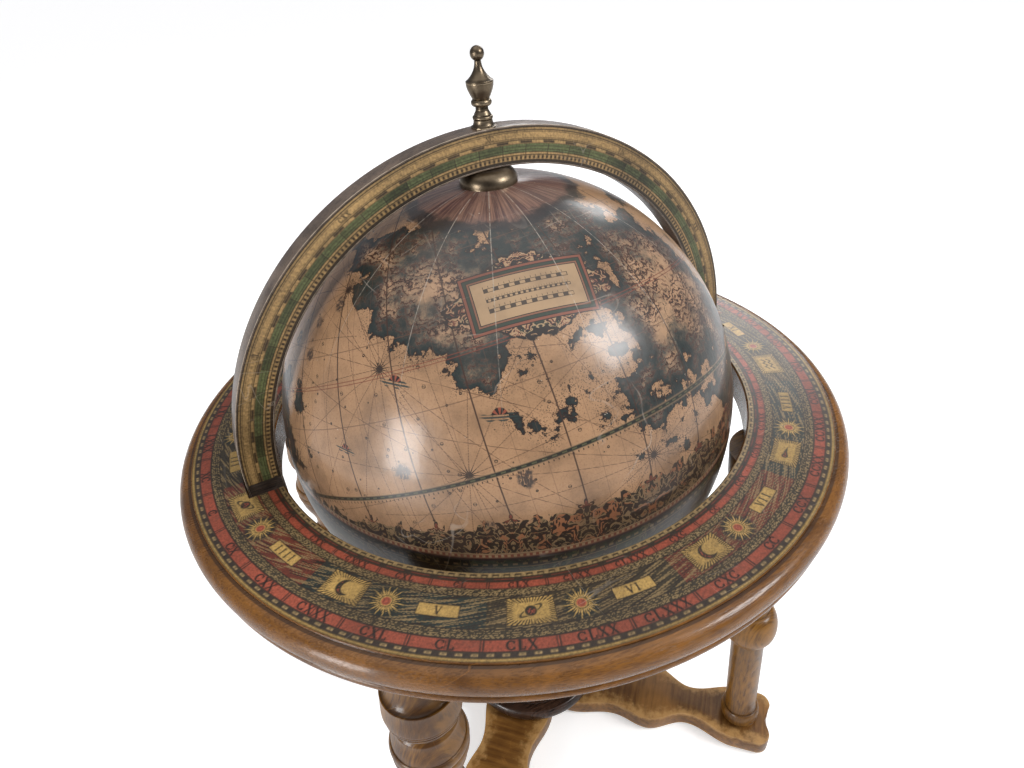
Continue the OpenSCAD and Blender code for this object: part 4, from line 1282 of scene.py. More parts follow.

# %% [markdown]
# One recipe makes every stained wood here: a dark and a light tone mixed by the grain, a glaze in slow
# clouds, painted shade that darkens the hollows, bare streaks on the edges, and a lacquer coat over it
# all.
# The legs' grain is drawn out upwards and each board's runs with the board. Grain that follows
# the ring round would need coordinates of its own; under so dark a stain it isn't missed.

# %% Stained woods
def stained_wood(name, dark, light, bare, pace, wear_amount=0.0, rough=0.30, scale=26.0,
                 streak=1.0, turn=0.0):
    """Lacquered wood. pace is how fast the grain changes on x, y and z, so a small number draws
    it out that way, and turn lays x along the piece, in degrees about z."""
    def formula(tree):
        at = place_on(tree)
        fibre = use(tree, grain, At=place_on(tree, turn=(0, 0, turn), pace=pace), Scale=scale)
        glaze = use(tree, grimy, At=at, Scale=24.0)["Mask"]
        colour = colour_ramp(tree, fibre["Tone"], (0.0, dark), (0.55, light),
                             (1.0, [c * 1.25 for c in light]))
        colour = colour.mix([c * 0.5 for c in dark], (1 - fibre["Pores"]) * 0.55 * streak)
        colour = colour.mix([c * 0.55 for c in dark], glaze * 0.55)
        rub = use(tree, worn, At=at, Bend=stored(tree, "wear_patina_and_shade"), Amount=wear_amount)["Mask"]
        # Painted shade: where the outline bends inwards, the hollows are darkened towards a quarter of
        # the dark tone.
        hollow = (stored(tree, "wear_patina_and_shade") * -1.0).between(0.02, 0.35)
        colour = colour.mix([c * 0.25 for c in dark], hollow * 0.75)
        colour = colour.mix(bare, rub * 0.8)
        hair = use(tree, scratched, At=at, Scale=34.0)["Mask"]
        colour = colour.mix([min(1, c * 1.6) for c in light], hair * 0.35)
        height = fibre["Tone"] * 0.4 + fibre["Pores"] * 0.4 - rub * 0.5 - hair * 0.3
        gloss = fibre["Tone"] * 0.08 + rub * 0.22 + glaze * 0.12 + rough
        return {"Base_Color": colour, "Roughness": gloss,
                "Normal": bump(tree, height, 0.00022, 0.55)}
    return new_material(name, formula, Coat_Weight=0.25, Coat_Roughness=0.13, Coat_IOR=1.5,
                        Specular_IOR_Level=0.3)


turned_wood = stained_wood("golden_brown_turned_wood", (0.078, 0.029, 0.004), (0.205, 0.090, 0.013),
                           (0.42, 0.25, 0.08), (1.0, 1.0, 0.10), 0.5, streak=0.4)
board_woods = [stained_wood(name, (0.110, 0.044, 0.009), (0.230, 0.104, 0.024), (0.46, 0.26, 0.09),
                            (1.0, 1.0, 1.0), 0.7, scale=9.0, streak=0.12, turn=turn)
               for name, turn in (("lower_board_wood", -45.0), ("upper_board_wood", 45.0))]
dark_wood = stained_wood("near_black_turned_wood", (0.012, 0.006, 0.004), (0.050, 0.024, 0.014),
                         (0.16, 0.09, 0.05), (1.0, 1.0, 0.2), 0.35, rough=0.22)
ring_finish = stained_wood("warm_brown_ring", (0.100, 0.037, 0.006), (0.185, 0.075, 0.014),
                           (0.40, 0.24, 0.10), (1.0, 1.0, 3.0), 0.25, rough=0.20, streak=0.3)
arch_finish = stained_wood("grey_brown_arch", (0.055, 0.036, 0.026), (0.155, 0.110, 0.080),
                           (0.50, 0.42, 0.32), (1.0, 1.0, 1.0), 1.1, rough=0.30, scale=40.0)
inner_wood = stained_wood("pale_inner_wood", (0.17, 0.085, 0.03), (0.40, 0.235, 0.10),
                          (0.50, 0.32, 0.16), (0.15, 1.0, 1.0), 0.0, rough=0.42)
print("woods", [wood.name for wood in (turned_wood, *board_woods, dark_wood, ring_finish,
                                       arch_finish, inner_wood)])

# %% [markdown]
# Printed paper under old varnish: the stored ink, warmed by the varnish, thinned by scratches and
# rubbed pale here and there. The gloss breaks up where the varnish has crazed.

# %% Varnished print
def varnished_print(name, haze=0.5):
    """Stored ink under varnish: warm brown over all, dark specks and stains, pale rubs and
    hairlines. haze is how dull the varnish has gone, from 0 to 1."""
    def formula(tree):
        at = place_on(tree)
        ink = stored(tree, "ink", "Color")
        mottled = noise(tree, at, 900.0, 3, 0.7)
        colour = ink.mix((0.92, 0.86, 0.80), 1.0, blend="MULTIPLY")
        colour = colour.mix((0.012, 0.009, 0.007), (mottled - 0.45).clamped() * 1.6)
        stain = use(tree, grimy, At=at, Scale=30.0)["Mask"]
        colour = colour.mix((0.026, 0.016, 0.010), stain * 0.35)
        rubbed = noise(tree, at, 60.0, 6, 0.7).between(0.60, 0.74)
        colour = colour.mix((0.26, 0.20, 0.15), rubbed * 0.09)
        hair = use(tree, scratched, At=at, Scale=42.0)["Mask"]
        colour = colour.mix((0.45, 0.39, 0.32), hair * 0.22)
        crazed = cells(tree, at, 420.0, "DISTANCE_TO_EDGE")
        gloss = noise(tree, at, 190.0, 4, 0.6) * 0.22 + hair * 0.2 + haze * 0.42
        height = crazed.between(0.0, 0.08) * 0.5 + mottled * 0.4 - hair * 0.6
        return {"Base_Color": colour, "Roughness": gloss,
                "Normal": bump(tree, height, 0.00010, 0.5)}
    return new_material(name, formula, Coat_Weight=0.22, Coat_Roughness=0.22, Coat_IOR=1.5,
                        Specular_IOR_Level=0.3)


sheet_finish = varnished_print("ring_print_under_varnish")
scale_finish = varnished_print("arch_print_under_varnish", 0.6)

# %% [markdown]
# The map is one long formula on directions from the globe's middle. It works in layers, from the
# paper up: land, coast, hills and rivers, wind lines, the net of meridians and parallels, a framed
# title panel with three scale bars, a frieze of leaves and the border at the seam. The lands are
# made up: discs on the ball whose edges a noise frays.

# %% Map directions
def unit(v):
    """The direction of a vector, of length 1."""
    return v / np.linalg.norm(v)


def toward(azimuth, elevation):
    """Unit vector at an azimuth and elevation in degrees, as seen from the globe's middle."""
    a, e = math.radians(azimuth), math.radians(elevation)
    return np.array([math.cos(a) * math.cos(e), math.sin(a) * math.cos(e), math.sin(e)])


def level_axes(azimuth, elevation, lean=0.0):
    """Unit vectors to the right and up, flat on the globe at a place and leant by degrees."""
    normal = toward(azimuth, elevation)
    level = unit(np.cross((0, 0, 1), normal))
    angle = math.radians(lean)
    right = level * math.cos(angle) + np.cross(normal, level) * math.sin(angle)
    return right, np.cross(normal, right)


BALL_MM = GLOBE_R / MM
DEGREE_MM = BALL_MM * math.pi / 180
MAP_POLE = toward(98.5, 65.6)
MAP_EAST = unit(np.cross(MAP_POLE, toward(-100, 10)))
MAP_ZERO = np.cross(MAP_EAST, MAP_POLE)
# Each land is a disc (azimuth, elevation, reach) in degrees; a rose has no reach, and a shell has
# a size beside its place.
LANDS = [(-125, 56, 17), (-96, 56, 16), (-98, 40, 8), (-60, 47, 19), (-52, 28, 17), (-76, 29, 7),
         (-40, 8, 12), (10, 34, 24), (48, 30, 18), (92, 22, 17), (140, 36, 20), (176, 14, 13)]
ROSES = [(-123, 20), (-146, 38), (-84, 16), (28, 12), (118, 14), (-170, 50), (150, 10)]
SHELLS = [(-141, 36, 1.0), (-116, 31, 1.1), (-152, 20, 0.8), (-70, 10, 0.9), (120, 30, 1.0)]


def on_globe(tree):
    """Direction from the globe's middle, of length 1."""
    return place_on(tree, centre=(0, 0, SEAM_Z)).vector("NORMALIZE")


def angle_about(direction, axis, zero):
    """Turn about an axis in degrees, from a zero direction: atan2 of the two flat parts."""
    turn = direction.dot(np.cross(axis, zero)).math("ARCTAN2", direction.dot(zero))
    return turn * (180 / math.pi)


def azimuth_of(direction):
    """Degrees round the globe's own pole, from +x."""
    return angle_about(direction, np.array([0, 0, 1.0]), np.array([1.0, 0, 0]))


def from_pole(direction):
    """Degrees down from the globe's own pole."""
    return direction.dot((0, 0, 1)).math("ARCCOSINE") * (180 / math.pi)


print("map of", len(LANDS), "lands,", len(ROSES), "wind roses and", len(SHELLS), "shells")

# %% [markdown]
# Land, wind lines and the shells on the sea are groups, because the map asks each one only where a
# point lies. They put out masks and a depth inland, and the map chooses the colours.

# %% Lands, wind roses and shells
CELL_SCALE = 6.2


def land_formula(tree, fields):
    """How far inland a point is: the deepest of a set of discs and of a broken ring round the
    top, frayed by noise. Below 0 is sea. Islands are spots round some of the cells' points."""
    direction = fields["At"]
    deepest = 0.035 - abs(from_pole(direction) - 31.0) * 0.011
    for azimuth, elevation, reach in LANDS:
        depth = direction.dot(toward(azimuth, elevation)) - math.cos(math.radians(reach))
        deepest = deepest.math("SMOOTH_MAX", depth, 0.03)
    broad = noise(tree, direction, 3.4, 3, 0.5) - 0.5
    fray = noise(tree, direction, 11.0, 9, 0.62) - 0.5
    inland = deepest + broad * 0.22 + fray * 0.15
    spot = cells(tree, direction, CELL_SCALE) + fray * 0.55
    chosen = cells(tree, direction, CELL_SCALE, out=1).parts()[0].above(0.42)
    return {"Inland": inland, "Islands": spot.between(0.21, 0.13) * chosen}


def rose_formula(tree, fields):
    """Wind lines: sixteen rays from each rose, kept the same width by the distance to it, and a
    small star with long and short points at the rose itself."""
    rays, stars = 0.0, 0.0
    for azimuth, elevation in ROSES:
        axis = toward(azimuth, elevation)
        turn = angle_about(fields["At"], axis, level_axes(azimuth, elevation)[0]) * (16 / 360)
        off = abs(turn - turn.math("ROUND"))
        from_rose = fields["At"].vector("CROSS_PRODUCT", axis).vector("LENGTH", out="Value")
        ahead = fields["At"].dot(axis).above(0.55)
        rays = (off * from_rose).between(0.0052, 0.0022) * ahead + rays
        stars = (off * from_rose * 5.0 + from_rose).below(0.040) * ahead + stars
    return {"Rays": rays.clamped(), "Stars": stars.clamped()}


def shell_formula(tree, fields):
    """Sea shells on a swell, where a chart has its ships: an ellipse of hatched water and, over
    it, a half disc with ribs. Water is a mask, Shell is 1 on ribs and 0.5 between them."""
    water, shell = 0.0, 0.0
    for azimuth, elevation, size in SHELLS:
        right, up = level_axes(azimuth, elevation)
        x = fields["At"].dot(right) * (BALL_MM / size)
        y = fields["At"].dot(up) * (BALL_MM / size)
        front = fields["At"].dot(toward(azimuth, elevation)).above(0.7)
        ripple = (x * 1.1).sine() * 0.5
        crest = y + ripple
        swell = x * x * (1 / 72) + crest * crest * (1 / 3.4)
        water = swell.between(1.15, 0.6) * front + water
        rib = (x.math("ARCTAN2", y) * 8.0).cosine().above(0.1) * 0.5 + 0.5
        reach = (x * x + (y - 0.4) * (y - 0.4)).root()
        shell = reach.below(3.4) * y.above(0.9) * rib * front + shell
    return {"Water": water.clamped(), "Shell": shell.clamped()}


lands = new_group("lands", ["At"], ["Inland", "Islands"], land_formula)
roses = new_group("wind_roses", ["At"], ["Rays", "Stars"], rose_formula)
shells = new_group("shells_on_swells", ["At"], ["Water", "Shell"], shell_formula)

# %% [markdown]
# The title panel and the frieze are ornaments of their own. Scrolls come from a noise read through
# itself, which winds straight stripes into curls; reading it at |x| mirrors them, and the mirror
# turns chance into a design. The panel lies in a flat plane that touches the globe.

# %% Panel and scrolls
TITLE_AT = (-104, 54)
TITLE_RIGHT, TITLE_UP = level_axes(*TITLE_AT, lean=3.4)
TITLE_HALF_W, TITLE_HALF_H = 27.5, 12.5


def panel_formula(tree, fields):
    """Places in the panel's plane, in mm: Across, Up, and Box, the distance outside its edge."""
    x = fields["At"].dot(TITLE_RIGHT) * BALL_MM
    y = fields["At"].dot(TITLE_UP) * BALL_MM
    front = fields["At"].dot(toward(*TITLE_AT)).above(0.6)
    box = (abs(x) - TITLE_HALF_W).most(abs(y) - TITLE_HALF_H)
    return {"Box": box + (1 - front) * 99.0, "Across": x, "Up": y}


def scroll_formula(tree, fields):
    """Curls: noise at a place that the same kind of noise has pushed about, cut into stripes.
    Stripes runs from -1 to 1 and Tint from 0 to 1."""
    push = noise(tree, fields["At"], fields["Scale"], 2, 0.5, out=1)
    bent = fields["At"].vector("ADD", push.scaled(0.22))
    field = noise(tree, bent, fields["Scale"] * 1.7, 3, 0.55)
    return {"Stripes": (field * 30.0).sine(), "Tint": noise(tree, bent, fields["Scale"], 3, 0.5)}


title_panel = new_group("title_panel", ["At"], ["Box", "Across", "Up"], panel_formula)
scrollwork = new_group("scrollwork", ["At", "Scale"], ["Stripes", "Tint"], scroll_formula)

# %% [markdown]
# Now the layers. Each one is a colour and a mask, laid with `mix` in the order of a printer. Land
# comes first: a pale inside, a dark wash towards the shore, hills as bent dark strokes, rivers
# where a noise passes its middle, and dots in the water off the coast.

# %% Map colours and land
SEA = (0.360, 0.208, 0.110)
SHORE = (0.010, 0.018, 0.018)
INNER_LAND = (0.420, 0.260, 0.150)
MAP_INK = (0.016, 0.010, 0.008)
RUST = (0.170, 0.040, 0.022)
FIELD = (0.370, 0.240, 0.130)


def draw_land(tree, at, colour):
    """Shores that darken towards the water, engraved hills, rivers and a stippled sea edge."""
    land = use(tree, lands, At=at)
    inland = land["Inland"]
    on_land = inland.above(0.0)
    streaks = noise(tree, at.scaled(70.0, 70.0, 14.0), 1.6, 4, 0.7)
    moss = noise(tree, at, 20.0, 5, 0.6)
    colour = colour.mix(INNER_LAND, on_land * 0.7)
    colour = colour.mix((0.060, 0.060, 0.038), on_land * moss.between(0.50, 0.70) * 0.40)
    wash = inland.between(0.078, 0.020) + (streaks - 0.5) * 1.3 * inland.between(0.11, 0.04)
    colour = colour.mix((0.026, 0.040, 0.038), wash.clamped() * on_land * 0.92)
    colour = colour.mix(SHORE, inland.between(0.045, 0.006) * on_land * 0.9)
    wave = at.dot((0, 0, 1)) * 330.0 + (noise(tree, at, 22.0, 5, 0.65) - 0.5) * 34.0
    cluster = noise(tree, at, 7.5, 4, 0.6).between(0.38, 0.46) * inland.between(0.012, 0.035)
    slope = wave.sine()
    colour = colour.mix((0.170, 0.062, 0.036), slope.between(-0.3, 0.5) * cluster * 0.75)
    colour = colour.mix(MAP_INK, slope.between(0.45, 0.75) * cluster * 0.92)
    river = noise(tree, at, 6.5, 6, 0.6) - 0.5
    colour = colour.mix(SHORE, river.line(0.020) * on_land * 0.35)
    colour = colour.mix(MAP_INK, river.line(0.0042) * on_land * 0.9)
    dots = cells(tree, at, 150.0).below(0.34)
    colour = colour.mix(MAP_INK, dots * inland.between(-0.034, -0.004) * (1 - on_land) * 0.75)
    colour = colour.mix(MAP_INK, inland.line(0.005))
    island = land["Islands"] * (1 - on_land)
    colour = colour.mix((0.030, 0.026, 0.026), island * streaks.between(0.38, 0.52) * 0.92)
    return colour, on_land

# %% [markdown]
# Over the land and the sea lie the lines that a navigator steered by: rays from the wind roses,
# crosses for soundings, and the net of meridians and parallels about a tilted map pole. The net's
# lines keep their width in mm wherever they run, because degrees are turned into mm first.

# %% Roses, crosses, shells and the net
CROSS_SCALE = 26.0


def draw_crosses(tree, at, colour, open_sea):
    """Small ringed crosses on the points of some of the cells, at sea."""
    point = cells(tree, at, CROSS_SCALE, out=2)
    off = at.scaled(CROSS_SCALE).vector("SUBTRACT", point.scaled(CROSS_SCALE))
    reach = off.vector("LENGTH", out="Value")
    cross = (abs(off.dot((0, 0, 1))).below(0.035) + abs(reach - 0.16).below(0.03)) * reach.below(0.19)
    picked = cells(tree, at, CROSS_SCALE, out=1).parts()[1].above(0.62)
    return colour.mix(MAP_INK, cross * picked * open_sea * 0.75)


def wrapped(degrees, step):
    """Degrees from the nearest whole step, between -step / 2 and step / 2."""
    return ((degrees * (1 / step) + 0.5).fraction() - 0.5) * step


def draw_net(tree, at, colour, on_land):
    """Wind lines, shells, meridians and parallels, the two circles in rust and the equator."""
    latitude = at.dot(MAP_POLE).math("ARCSINE") * (180 / math.pi)
    longitude = angle_about(at, MAP_POLE, MAP_ZERO)
    rose = use(tree, roses, At=at)
    dash = (latitude * 1.7 + longitude).fraction().below(0.8)
    open_sea = 1 - on_land * 0.8
    colour = colour.mix((0.085, 0.040, 0.022), rose["Rays"] * open_sea * dash * 0.72)
    colour = colour.mix(MAP_INK, rose["Stars"] * 0.9)
    colour = draw_crosses(tree, at, colour, open_sea)
    shell = use(tree, shells, At=at)
    ripples = (at.dot((0, 0, 1)) * 700.0).sine().between(-0.6, 0.3)
    colour = colour.mix((0.020, 0.034, 0.032), shell["Water"] * ripples * 0.95)
    colour = colour.mix((0.250, 0.065, 0.035), shell["Shell"].above(0.3))
    colour = colour.mix(MAP_INK, shell["Shell"].above(0.3) * shell["Shell"].below(0.8))
    slim = latitude.math("RADIANS").cosine() * DEGREE_MM
    fine, meridian = wrapped(longitude, 5.0) * slim, wrapped(longitude, 15.0) * slim
    parallel = wrapped(latitude, 15.0) * DEGREE_MM
    colour = colour.mix((0.10, 0.05, 0.03), fine.line(0.40) * 0.35)
    colour = colour.mix((0.040, 0.018, 0.012), meridian.line(0.75) * 0.9)
    colour = colour.mix((0.10, 0.050, 0.030), parallel.line(0.45) * 0.65)
    for circle in (23.5, 66.5):
        pair = abs((latitude - circle) * DEGREE_MM) - 0.8
        colour = colour.mix(RUST, pair.line(0.42) * 0.8)
    equator = latitude * DEGREE_MM
    checks = (longitude * 0.5).fraction().below(0.5)
    colour = colour.mix(FIELD, equator.line(2.8) * 0.6)
    colour = colour.mix((0.012, 0.014, 0.010), equator.line(2.0))
    colour = colour.mix((0.095, 0.095, 0.045), equator.line(0.7) * checks * 0.75)
    ticks = longitude.fraction().below(0.25)
    return colour.mix(MAP_INK, (equator + 2.0).line(1.0) * ticks * 0.85)

# %% [markdown]
# The title panel has no title. Nested boxes make its mouldings, scrollwork mirrored left to right
# frames it, and inside are three checked bars, such as a map has for its scales of miles.

# %% The title panel
MOULDINGS = ((2.6, MAP_INK), (2.1, (0.200, 0.062, 0.034)), (0.9, MAP_INK), (0.5, (0.022, 0.036, 0.022)),
             (-0.8, MAP_INK), (-1.1, (0.200, 0.085, 0.045)), (-1.9, MAP_INK), (-2.3, FIELD))
SCALE_BARS = ((5.4, 5.0, 1.8), (0.3, 2.5, 1.3), (-4.8, 5.0, 1.8))


def draw_scale_bar(colour, across, up, level, pitch, tall):
    """A row of checks at a level of the panel, between two thin lines, with ticks over it."""
    inside = abs(across).below(20.0)
    checks = ((across + level) * (1 / pitch)).fraction().below(0.5)
    bar = (up - level).line(tall, soft=0.2)
    colour = colour.mix(MAP_INK, bar * checks * inside * 0.9)
    for edge in (-0.5, 0.5):
        colour = colour.mix(MAP_INK, (up - level + edge * tall).line(0.3) * inside * 0.9)
    ticks = (across * (2 / pitch)).fraction().below(0.12)
    return colour.mix(MAP_INK, (up - level - tall).line(1.1) * ticks * inside * 0.8)


def draw_panel(tree, at, colour):
    """Scrollwork about the box, which swells out at the middle of each side, then the mouldings
    from the outermost in, and the scale bars."""
    panel = use(tree, title_panel, At=at)
    box, across, up = panel["Box"], panel["Across"], panel["Up"]
    mirrored = triple(tree, abs(across) * (1 / BALL_MM), up * (1 / BALL_MM), 0.31)
    curls = use(tree, scrollwork, At=mirrored, Scale=13.0)
    hump = (across * 0.070).cosine() * 9.0
    sides = (up * 0.12).cosine() * 12.0
    reach = (abs(up) - TITLE_HALF_H - hump).most(abs(across) - TITLE_HALF_W - sides)
    border = reach + (curls["Tint"] - 0.5) * 9.0
    shape = border.between(0.6, -0.6) * box.below(40.0)
    stripes = curls["Stripes"]
    colour = colour.mix((0.185, 0.060, 0.034), shape)
    colour = colour.mix((0.030, 0.040, 0.024), shape * curls["Tint"].above(0.52))
    colour = colour.mix(FIELD, shape * stripes.above(0.62) * 0.9)
    colour = colour.mix(MAP_INK, shape * stripes.below(-0.05))
    colour = colour.mix(MAP_INK, border.line(1.1) * box.below(40.0))
    for reach, tone in MOULDINGS:
        colour = colour.mix(tone, box.below(reach))
    for bar in SCALE_BARS:
        colour = draw_scale_bar(colour, across, up, *bar)
    return colour

# %% [markdown]
# Two ornaments close the map: a wreath of feathered streaks round the cap, and low on the lid a
# frieze of leaves over a toothed border. The frieze repeats, so it is worked out on the distance
# from the middle of its own repeat, which mirrors it too.

# %% Wreath and frieze
FRIEZE_STEP = 15.0


def draw_wreath(tree, at, colour, mottle):
    """Feathered streaks round the cap, in pink brown, with a dark frayed edge."""
    around, from_top = azimuth_of(at), from_pole(at)
    edge = from_top + (mottle - 0.5) * 8.0
    fan = noise(tree, triple(tree, around * 0.55, from_top * 0.05, 0.0), 1.0, 4, 0.75)
    colour = colour.mix((0.250, 0.135, 0.095), edge.between(20.0, 17.5))
    colour = colour.mix((0.075, 0.036, 0.034), edge.between(20.0, 16.0) * fan.between(0.35, 0.62))
    return colour.mix((0.018, 0.018, 0.020), (edge - 19.0).line(3.2) * 0.92)


def draw_frieze(tree, at, colour):
    """Leaves and palmettes low on the lid, taller at the front, then the border at the seam.
    One repeat is 15 degrees wide and mirrored about its middle."""
    around = azimuth_of(at)
    height = at.dot((0, 0, 1)) * BALL_MM
    front = at.dot((0.14, -0.99, 0.0)).between(0.25, 0.95)
    repeat = around * (1 / FRIEZE_STEP) + 0.2
    u = abs(repeat.fraction() - 0.5) * FRIEZE_STEP * DEGREE_MM
    step = repeat.whole()
    curls = use(tree, scrollwork, Scale=11.0,
                At=triple(tree, u * (1 / BALL_MM), height * (1 / BALL_MM), step * 0.37))
    top = front * 16.0 + 8.0 + (curls["Tint"] - 0.5) * 26.0
    band = (top - height).between(-0.4, 0.4)
    stripes = curls["Stripes"]
    colour = colour.mix((0.020, 0.027, 0.016), band * 0.96)
    colour = colour.mix((0.220, 0.140, 0.072), band * stripes.above(0.50) * 0.9)
    glow = curls["Tint"].between(0.55, 0.60) * stripes.above(0.3)
    colour = colour.mix((0.270, 0.095, 0.042), band * glow * front * 0.8)
    colour = colour.mix(MAP_INK, band * stripes.below(0.0))
    v = height - top.least(24.0) - 1.0
    spray = (u * u + v * v).root()
    petals = abs((u.math("ARCTAN2", v) * 2.5).cosine())
    bloom = spray.below(petals * 4.4) * v.above(-0.3)
    colour = colour.mix(MAP_INK, bloom * front.above(0.1))
    colour = colour.mix(RUST, spray.below(petals * 3.2) * v.above(0.3) * front.above(0.1) * 0.8)
    colour = colour.mix((0.095, 0.036, 0.024), height.below(4.8))
    colour = colour.mix(FIELD, (height - 4.6).line(0.55) * 0.9)
    teeth = (around * 0.8).fraction().below(0.5)
    colour = colour.mix(FIELD, (height - 3.1).line(1.9) * 0.85)
    colour = colour.mix(RUST, (height - 3.1).line(1.7) * teeth * 0.95)
    return colour.mix(MAP_INK, height.below(1.3))

# %% [markdown]
# The lid's paper joins the layers, and a hundred years lie over them: raised joins between the paper
# gores, scuffs and chips, grime in slow clouds, and a gloss that is dull where it is worn. Two marks
# are painted light: the joins are painted pale near the top as a painted highlight, and the lid darkens
# towards the seam as painted shade.

# %% The lid's paper
def age_paper(tree, at, colour, fibre):
    """Joins every 24 degrees, painted pale near the top as a painted highlight, scratches, chips,
    grime, and painted shade towards the seam over a colour, and the gloss and relief that go with them."""
    height = at.dot((0, 0, 1))
    narrow = height.math("ARCCOSINE").sine()
    join = ((azimuth_of(at) * (1 / 24) + 0.31).fraction() - 0.5) * 24.0 * DEGREE_MM * narrow
    broken = noise(tree, at, 55.0, 3, 0.6).between(0.30, 0.58)
    # Painted highlight: the joins are painted pale, most of all near the top, where light catches them.
    pale = join.line(0.42) * height.between(0.40, 0.85) * broken
    colour = colour.mix((0.46, 0.40, 0.33), pale * 0.62)
    scuff = use(tree, scratched, At=at.scaled(GLOBE_R), Scale=26.0)["Mask"]
    colour = colour.mix((0.55, 0.48, 0.40), scuff * 0.32)
    chips = noise(tree, at, 38.0, 4, 0.7).between(0.70, 0.74)
    colour = colour.mix((0.55, 0.48, 0.40), chips * 0.7)
    # Grime in slow clouds, plus painted shade that darkens the lid towards the seam.
    grime_and_low_shade = use(tree, grimy, At=at, Scale=4.2)["Mask"] + height.between(0.30, 0.0) * 0.45
    colour = colour.mix((0.050, 0.028, 0.018), grime_and_low_shade * 0.45)
    gloss = noise(tree, at, 30.0, 5, 0.65) * 0.24 + scuff * 0.25 + pale * 0.2 + 0.26
    relief = fibre * 0.5 + noise(tree, at, 46.0, 3, 0.5) * 1.4 - scuff * 0.6 + pale * 0.4
    return {"Base_Color": colour, "Roughness": gloss, "Normal": bump(tree, relief, 0.00016, 0.5)}


def lid_formula(tree):
    """Mottled, fibrous paper with every layer of the map on it, and then its age."""
    at = on_globe(tree)
    mottle = noise(tree, at, 7.0, 8, 0.65)
    fibre = noise(tree, at, 150.0, 4, 0.7)
    colour = colour_ramp(tree, mottle, (0.25, [c * 0.60 for c in SEA]), (0.5, SEA),
                         (0.75, [c * 1.14 for c in SEA]))
    colour = colour.mix((0.15, 0.07, 0.035), (fibre - 0.5).clamped() * 2.0)
    colour, on_land = draw_land(tree, at, colour)
    colour = draw_net(tree, at, colour, on_land)
    colour = draw_panel(tree, at, colour)
    colour = draw_wreath(tree, at, colour, mottle)
    colour = draw_frieze(tree, at, colour)
    return age_paper(tree, at, colour, fibre)


lid_finish = new_material("map_paper_of_the_lid", lid_formula, Coat_Weight=0.5, Coat_Roughness=0.17,
                          Coat_IOR=1.5, Specular_IOR_Level=0.4)
print("the lid's map takes", len(lid_finish.node_tree.nodes), "nodes")

# %% [markdown]
# The bowl below is printed too, with faint gold and green ornament, but its paper is nearly black:
# painted shade, for the bowl lies below the lid and inside the ring, in their shadow. The metal parts
# are lacquered brass gone brown, with dark hollows and edges rubbed bright. Screws are plain steel, and
# pads are wool felt.

# %% The bowl, metals and felt
def bowl_formula(tree):
    """Near-black mottle, painted shade for the shadow below the lid, under faint gold scrolls and green
    leaves, with a toothed rim.
    """
    at = on_globe(tree)
    curls = use(tree, scrollwork, At=at, Scale=8.0)
    mottle = noise(tree, at, 9.0, 6, 0.65)
    # Painted shade: the near-black colours stand for the shadow that the bowl lies in below the lid and
    # the ring.
    colour = colour_ramp(tree, mottle, (0.3, (0.012, 0.009, 0.006)), (0.7, (0.040, 0.026, 0.015)))
    colour = colour.mix((0.105, 0.080, 0.032), curls["Stripes"].above(0.72) * 0.55)
    colour = colour.mix((0.030, 0.045, 0.022), curls["Tint"].between(0.5, 0.6) * 0.5)
    rim = at.dot((0, 0, -1)) * BALL_MM
    teeth = (azimuth_of(at) * 0.5).fraction().below(0.5)
    colour = colour.mix((0.16, 0.10, 0.045), (rim - 3.0).line(1.4) * teeth * 0.8)
    colour = colour.mix((0.14, 0.085, 0.035), (rim - 5.2).line(0.5) * 0.8)
    scuff = use(tree, scratched, At=at.scaled(GLOBE_R), Scale=26.0)["Mask"]
    colour = colour.mix((0.30, 0.24, 0.17), scuff * 0.4)
    gloss = mottle * 0.2 + scuff * 0.2 + 0.22
    return {"Base_Color": colour, "Roughness": gloss, "Normal": bump(tree, mottle, 0.0002, 0.4)}


def metal_formula(dark, bright, rough, wear_amount):
    """Old metal: brown lacquer in patches, dark hollows, edges rubbed bright, fine brushing."""
    def formula(tree):
        at = place_on(tree)
        patch = noise(tree, at, 55.0, 6, 0.65)
        brushed = noise(tree, place_on(tree, pace=(1.0, 1.0, 9.0)), 420.0, 3, 0.6)
        bend = stored(tree, "wear_patina_and_shade")
        rub = use(tree, worn, At=at, Bend=bend, Amount=wear_amount)["Mask"]
        colour = colour_ramp(tree, patch, (0.3, dark), (0.7, bright))
        colour = colour.mix([c * 0.2 for c in dark], (bend * -1.0).between(0.02, 0.35) * 0.8)
        colour = colour.mix([min(1, c * 1.8) for c in bright], rub * 0.8)
        gloss = patch * 0.25 + brushed * 0.10 + rough - rub * 0.08
        return {"Base_Color": colour, "Roughness": gloss,
                "Normal": bump(tree, brushed * 0.3 + patch, 0.00018, 0.4)}
    return formula


def felt_formula(tree):
    """Dark green fibres, lighter where they stand up."""
    fluff = noise(tree, place_on(tree), 1500.0, 5, 0.7)
    colour = colour_ramp(tree, fluff, (0.3, (0.012, 0.022, 0.014)), (0.7, (0.045, 0.075, 0.050)))
    return {"Base_Color": colour, "Normal": bump(tree, fluff, 0.0004, 0.8)}


bowl_finish = new_material("bowl_print_in_painted_shade", bowl_formula, Coat_Weight=0.1,
                           Coat_Roughness=0.3, Coat_IOR=1.5, Specular_IOR_Level=0.25)
old_brass = new_material("brown_lacquered_brass",
                         metal_formula((0.070, 0.050, 0.034), (0.235, 0.185, 0.125), 0.16, 0.6),
                         Metallic=1.0)
steel = new_material("plain_steel", metal_formula((0.28, 0.27, 0.26), (0.50, 0.49, 0.47), 0.22, 0.0),
                     Metallic=1.0)
felt = new_material("green_felt", felt_formula, Roughness=0.95, Sheen_Weight=0.4,
                    Sheen_Roughness=0.5)
print("metals and felt", old_brass.name, steel.name, felt.name)

# %% [markdown]
# Every piece gets its finish here. CAD nodes that have no drawn piece of their own, such as the
# screws, the bands inside the rims and the rack in the bowl, are shown as they are.

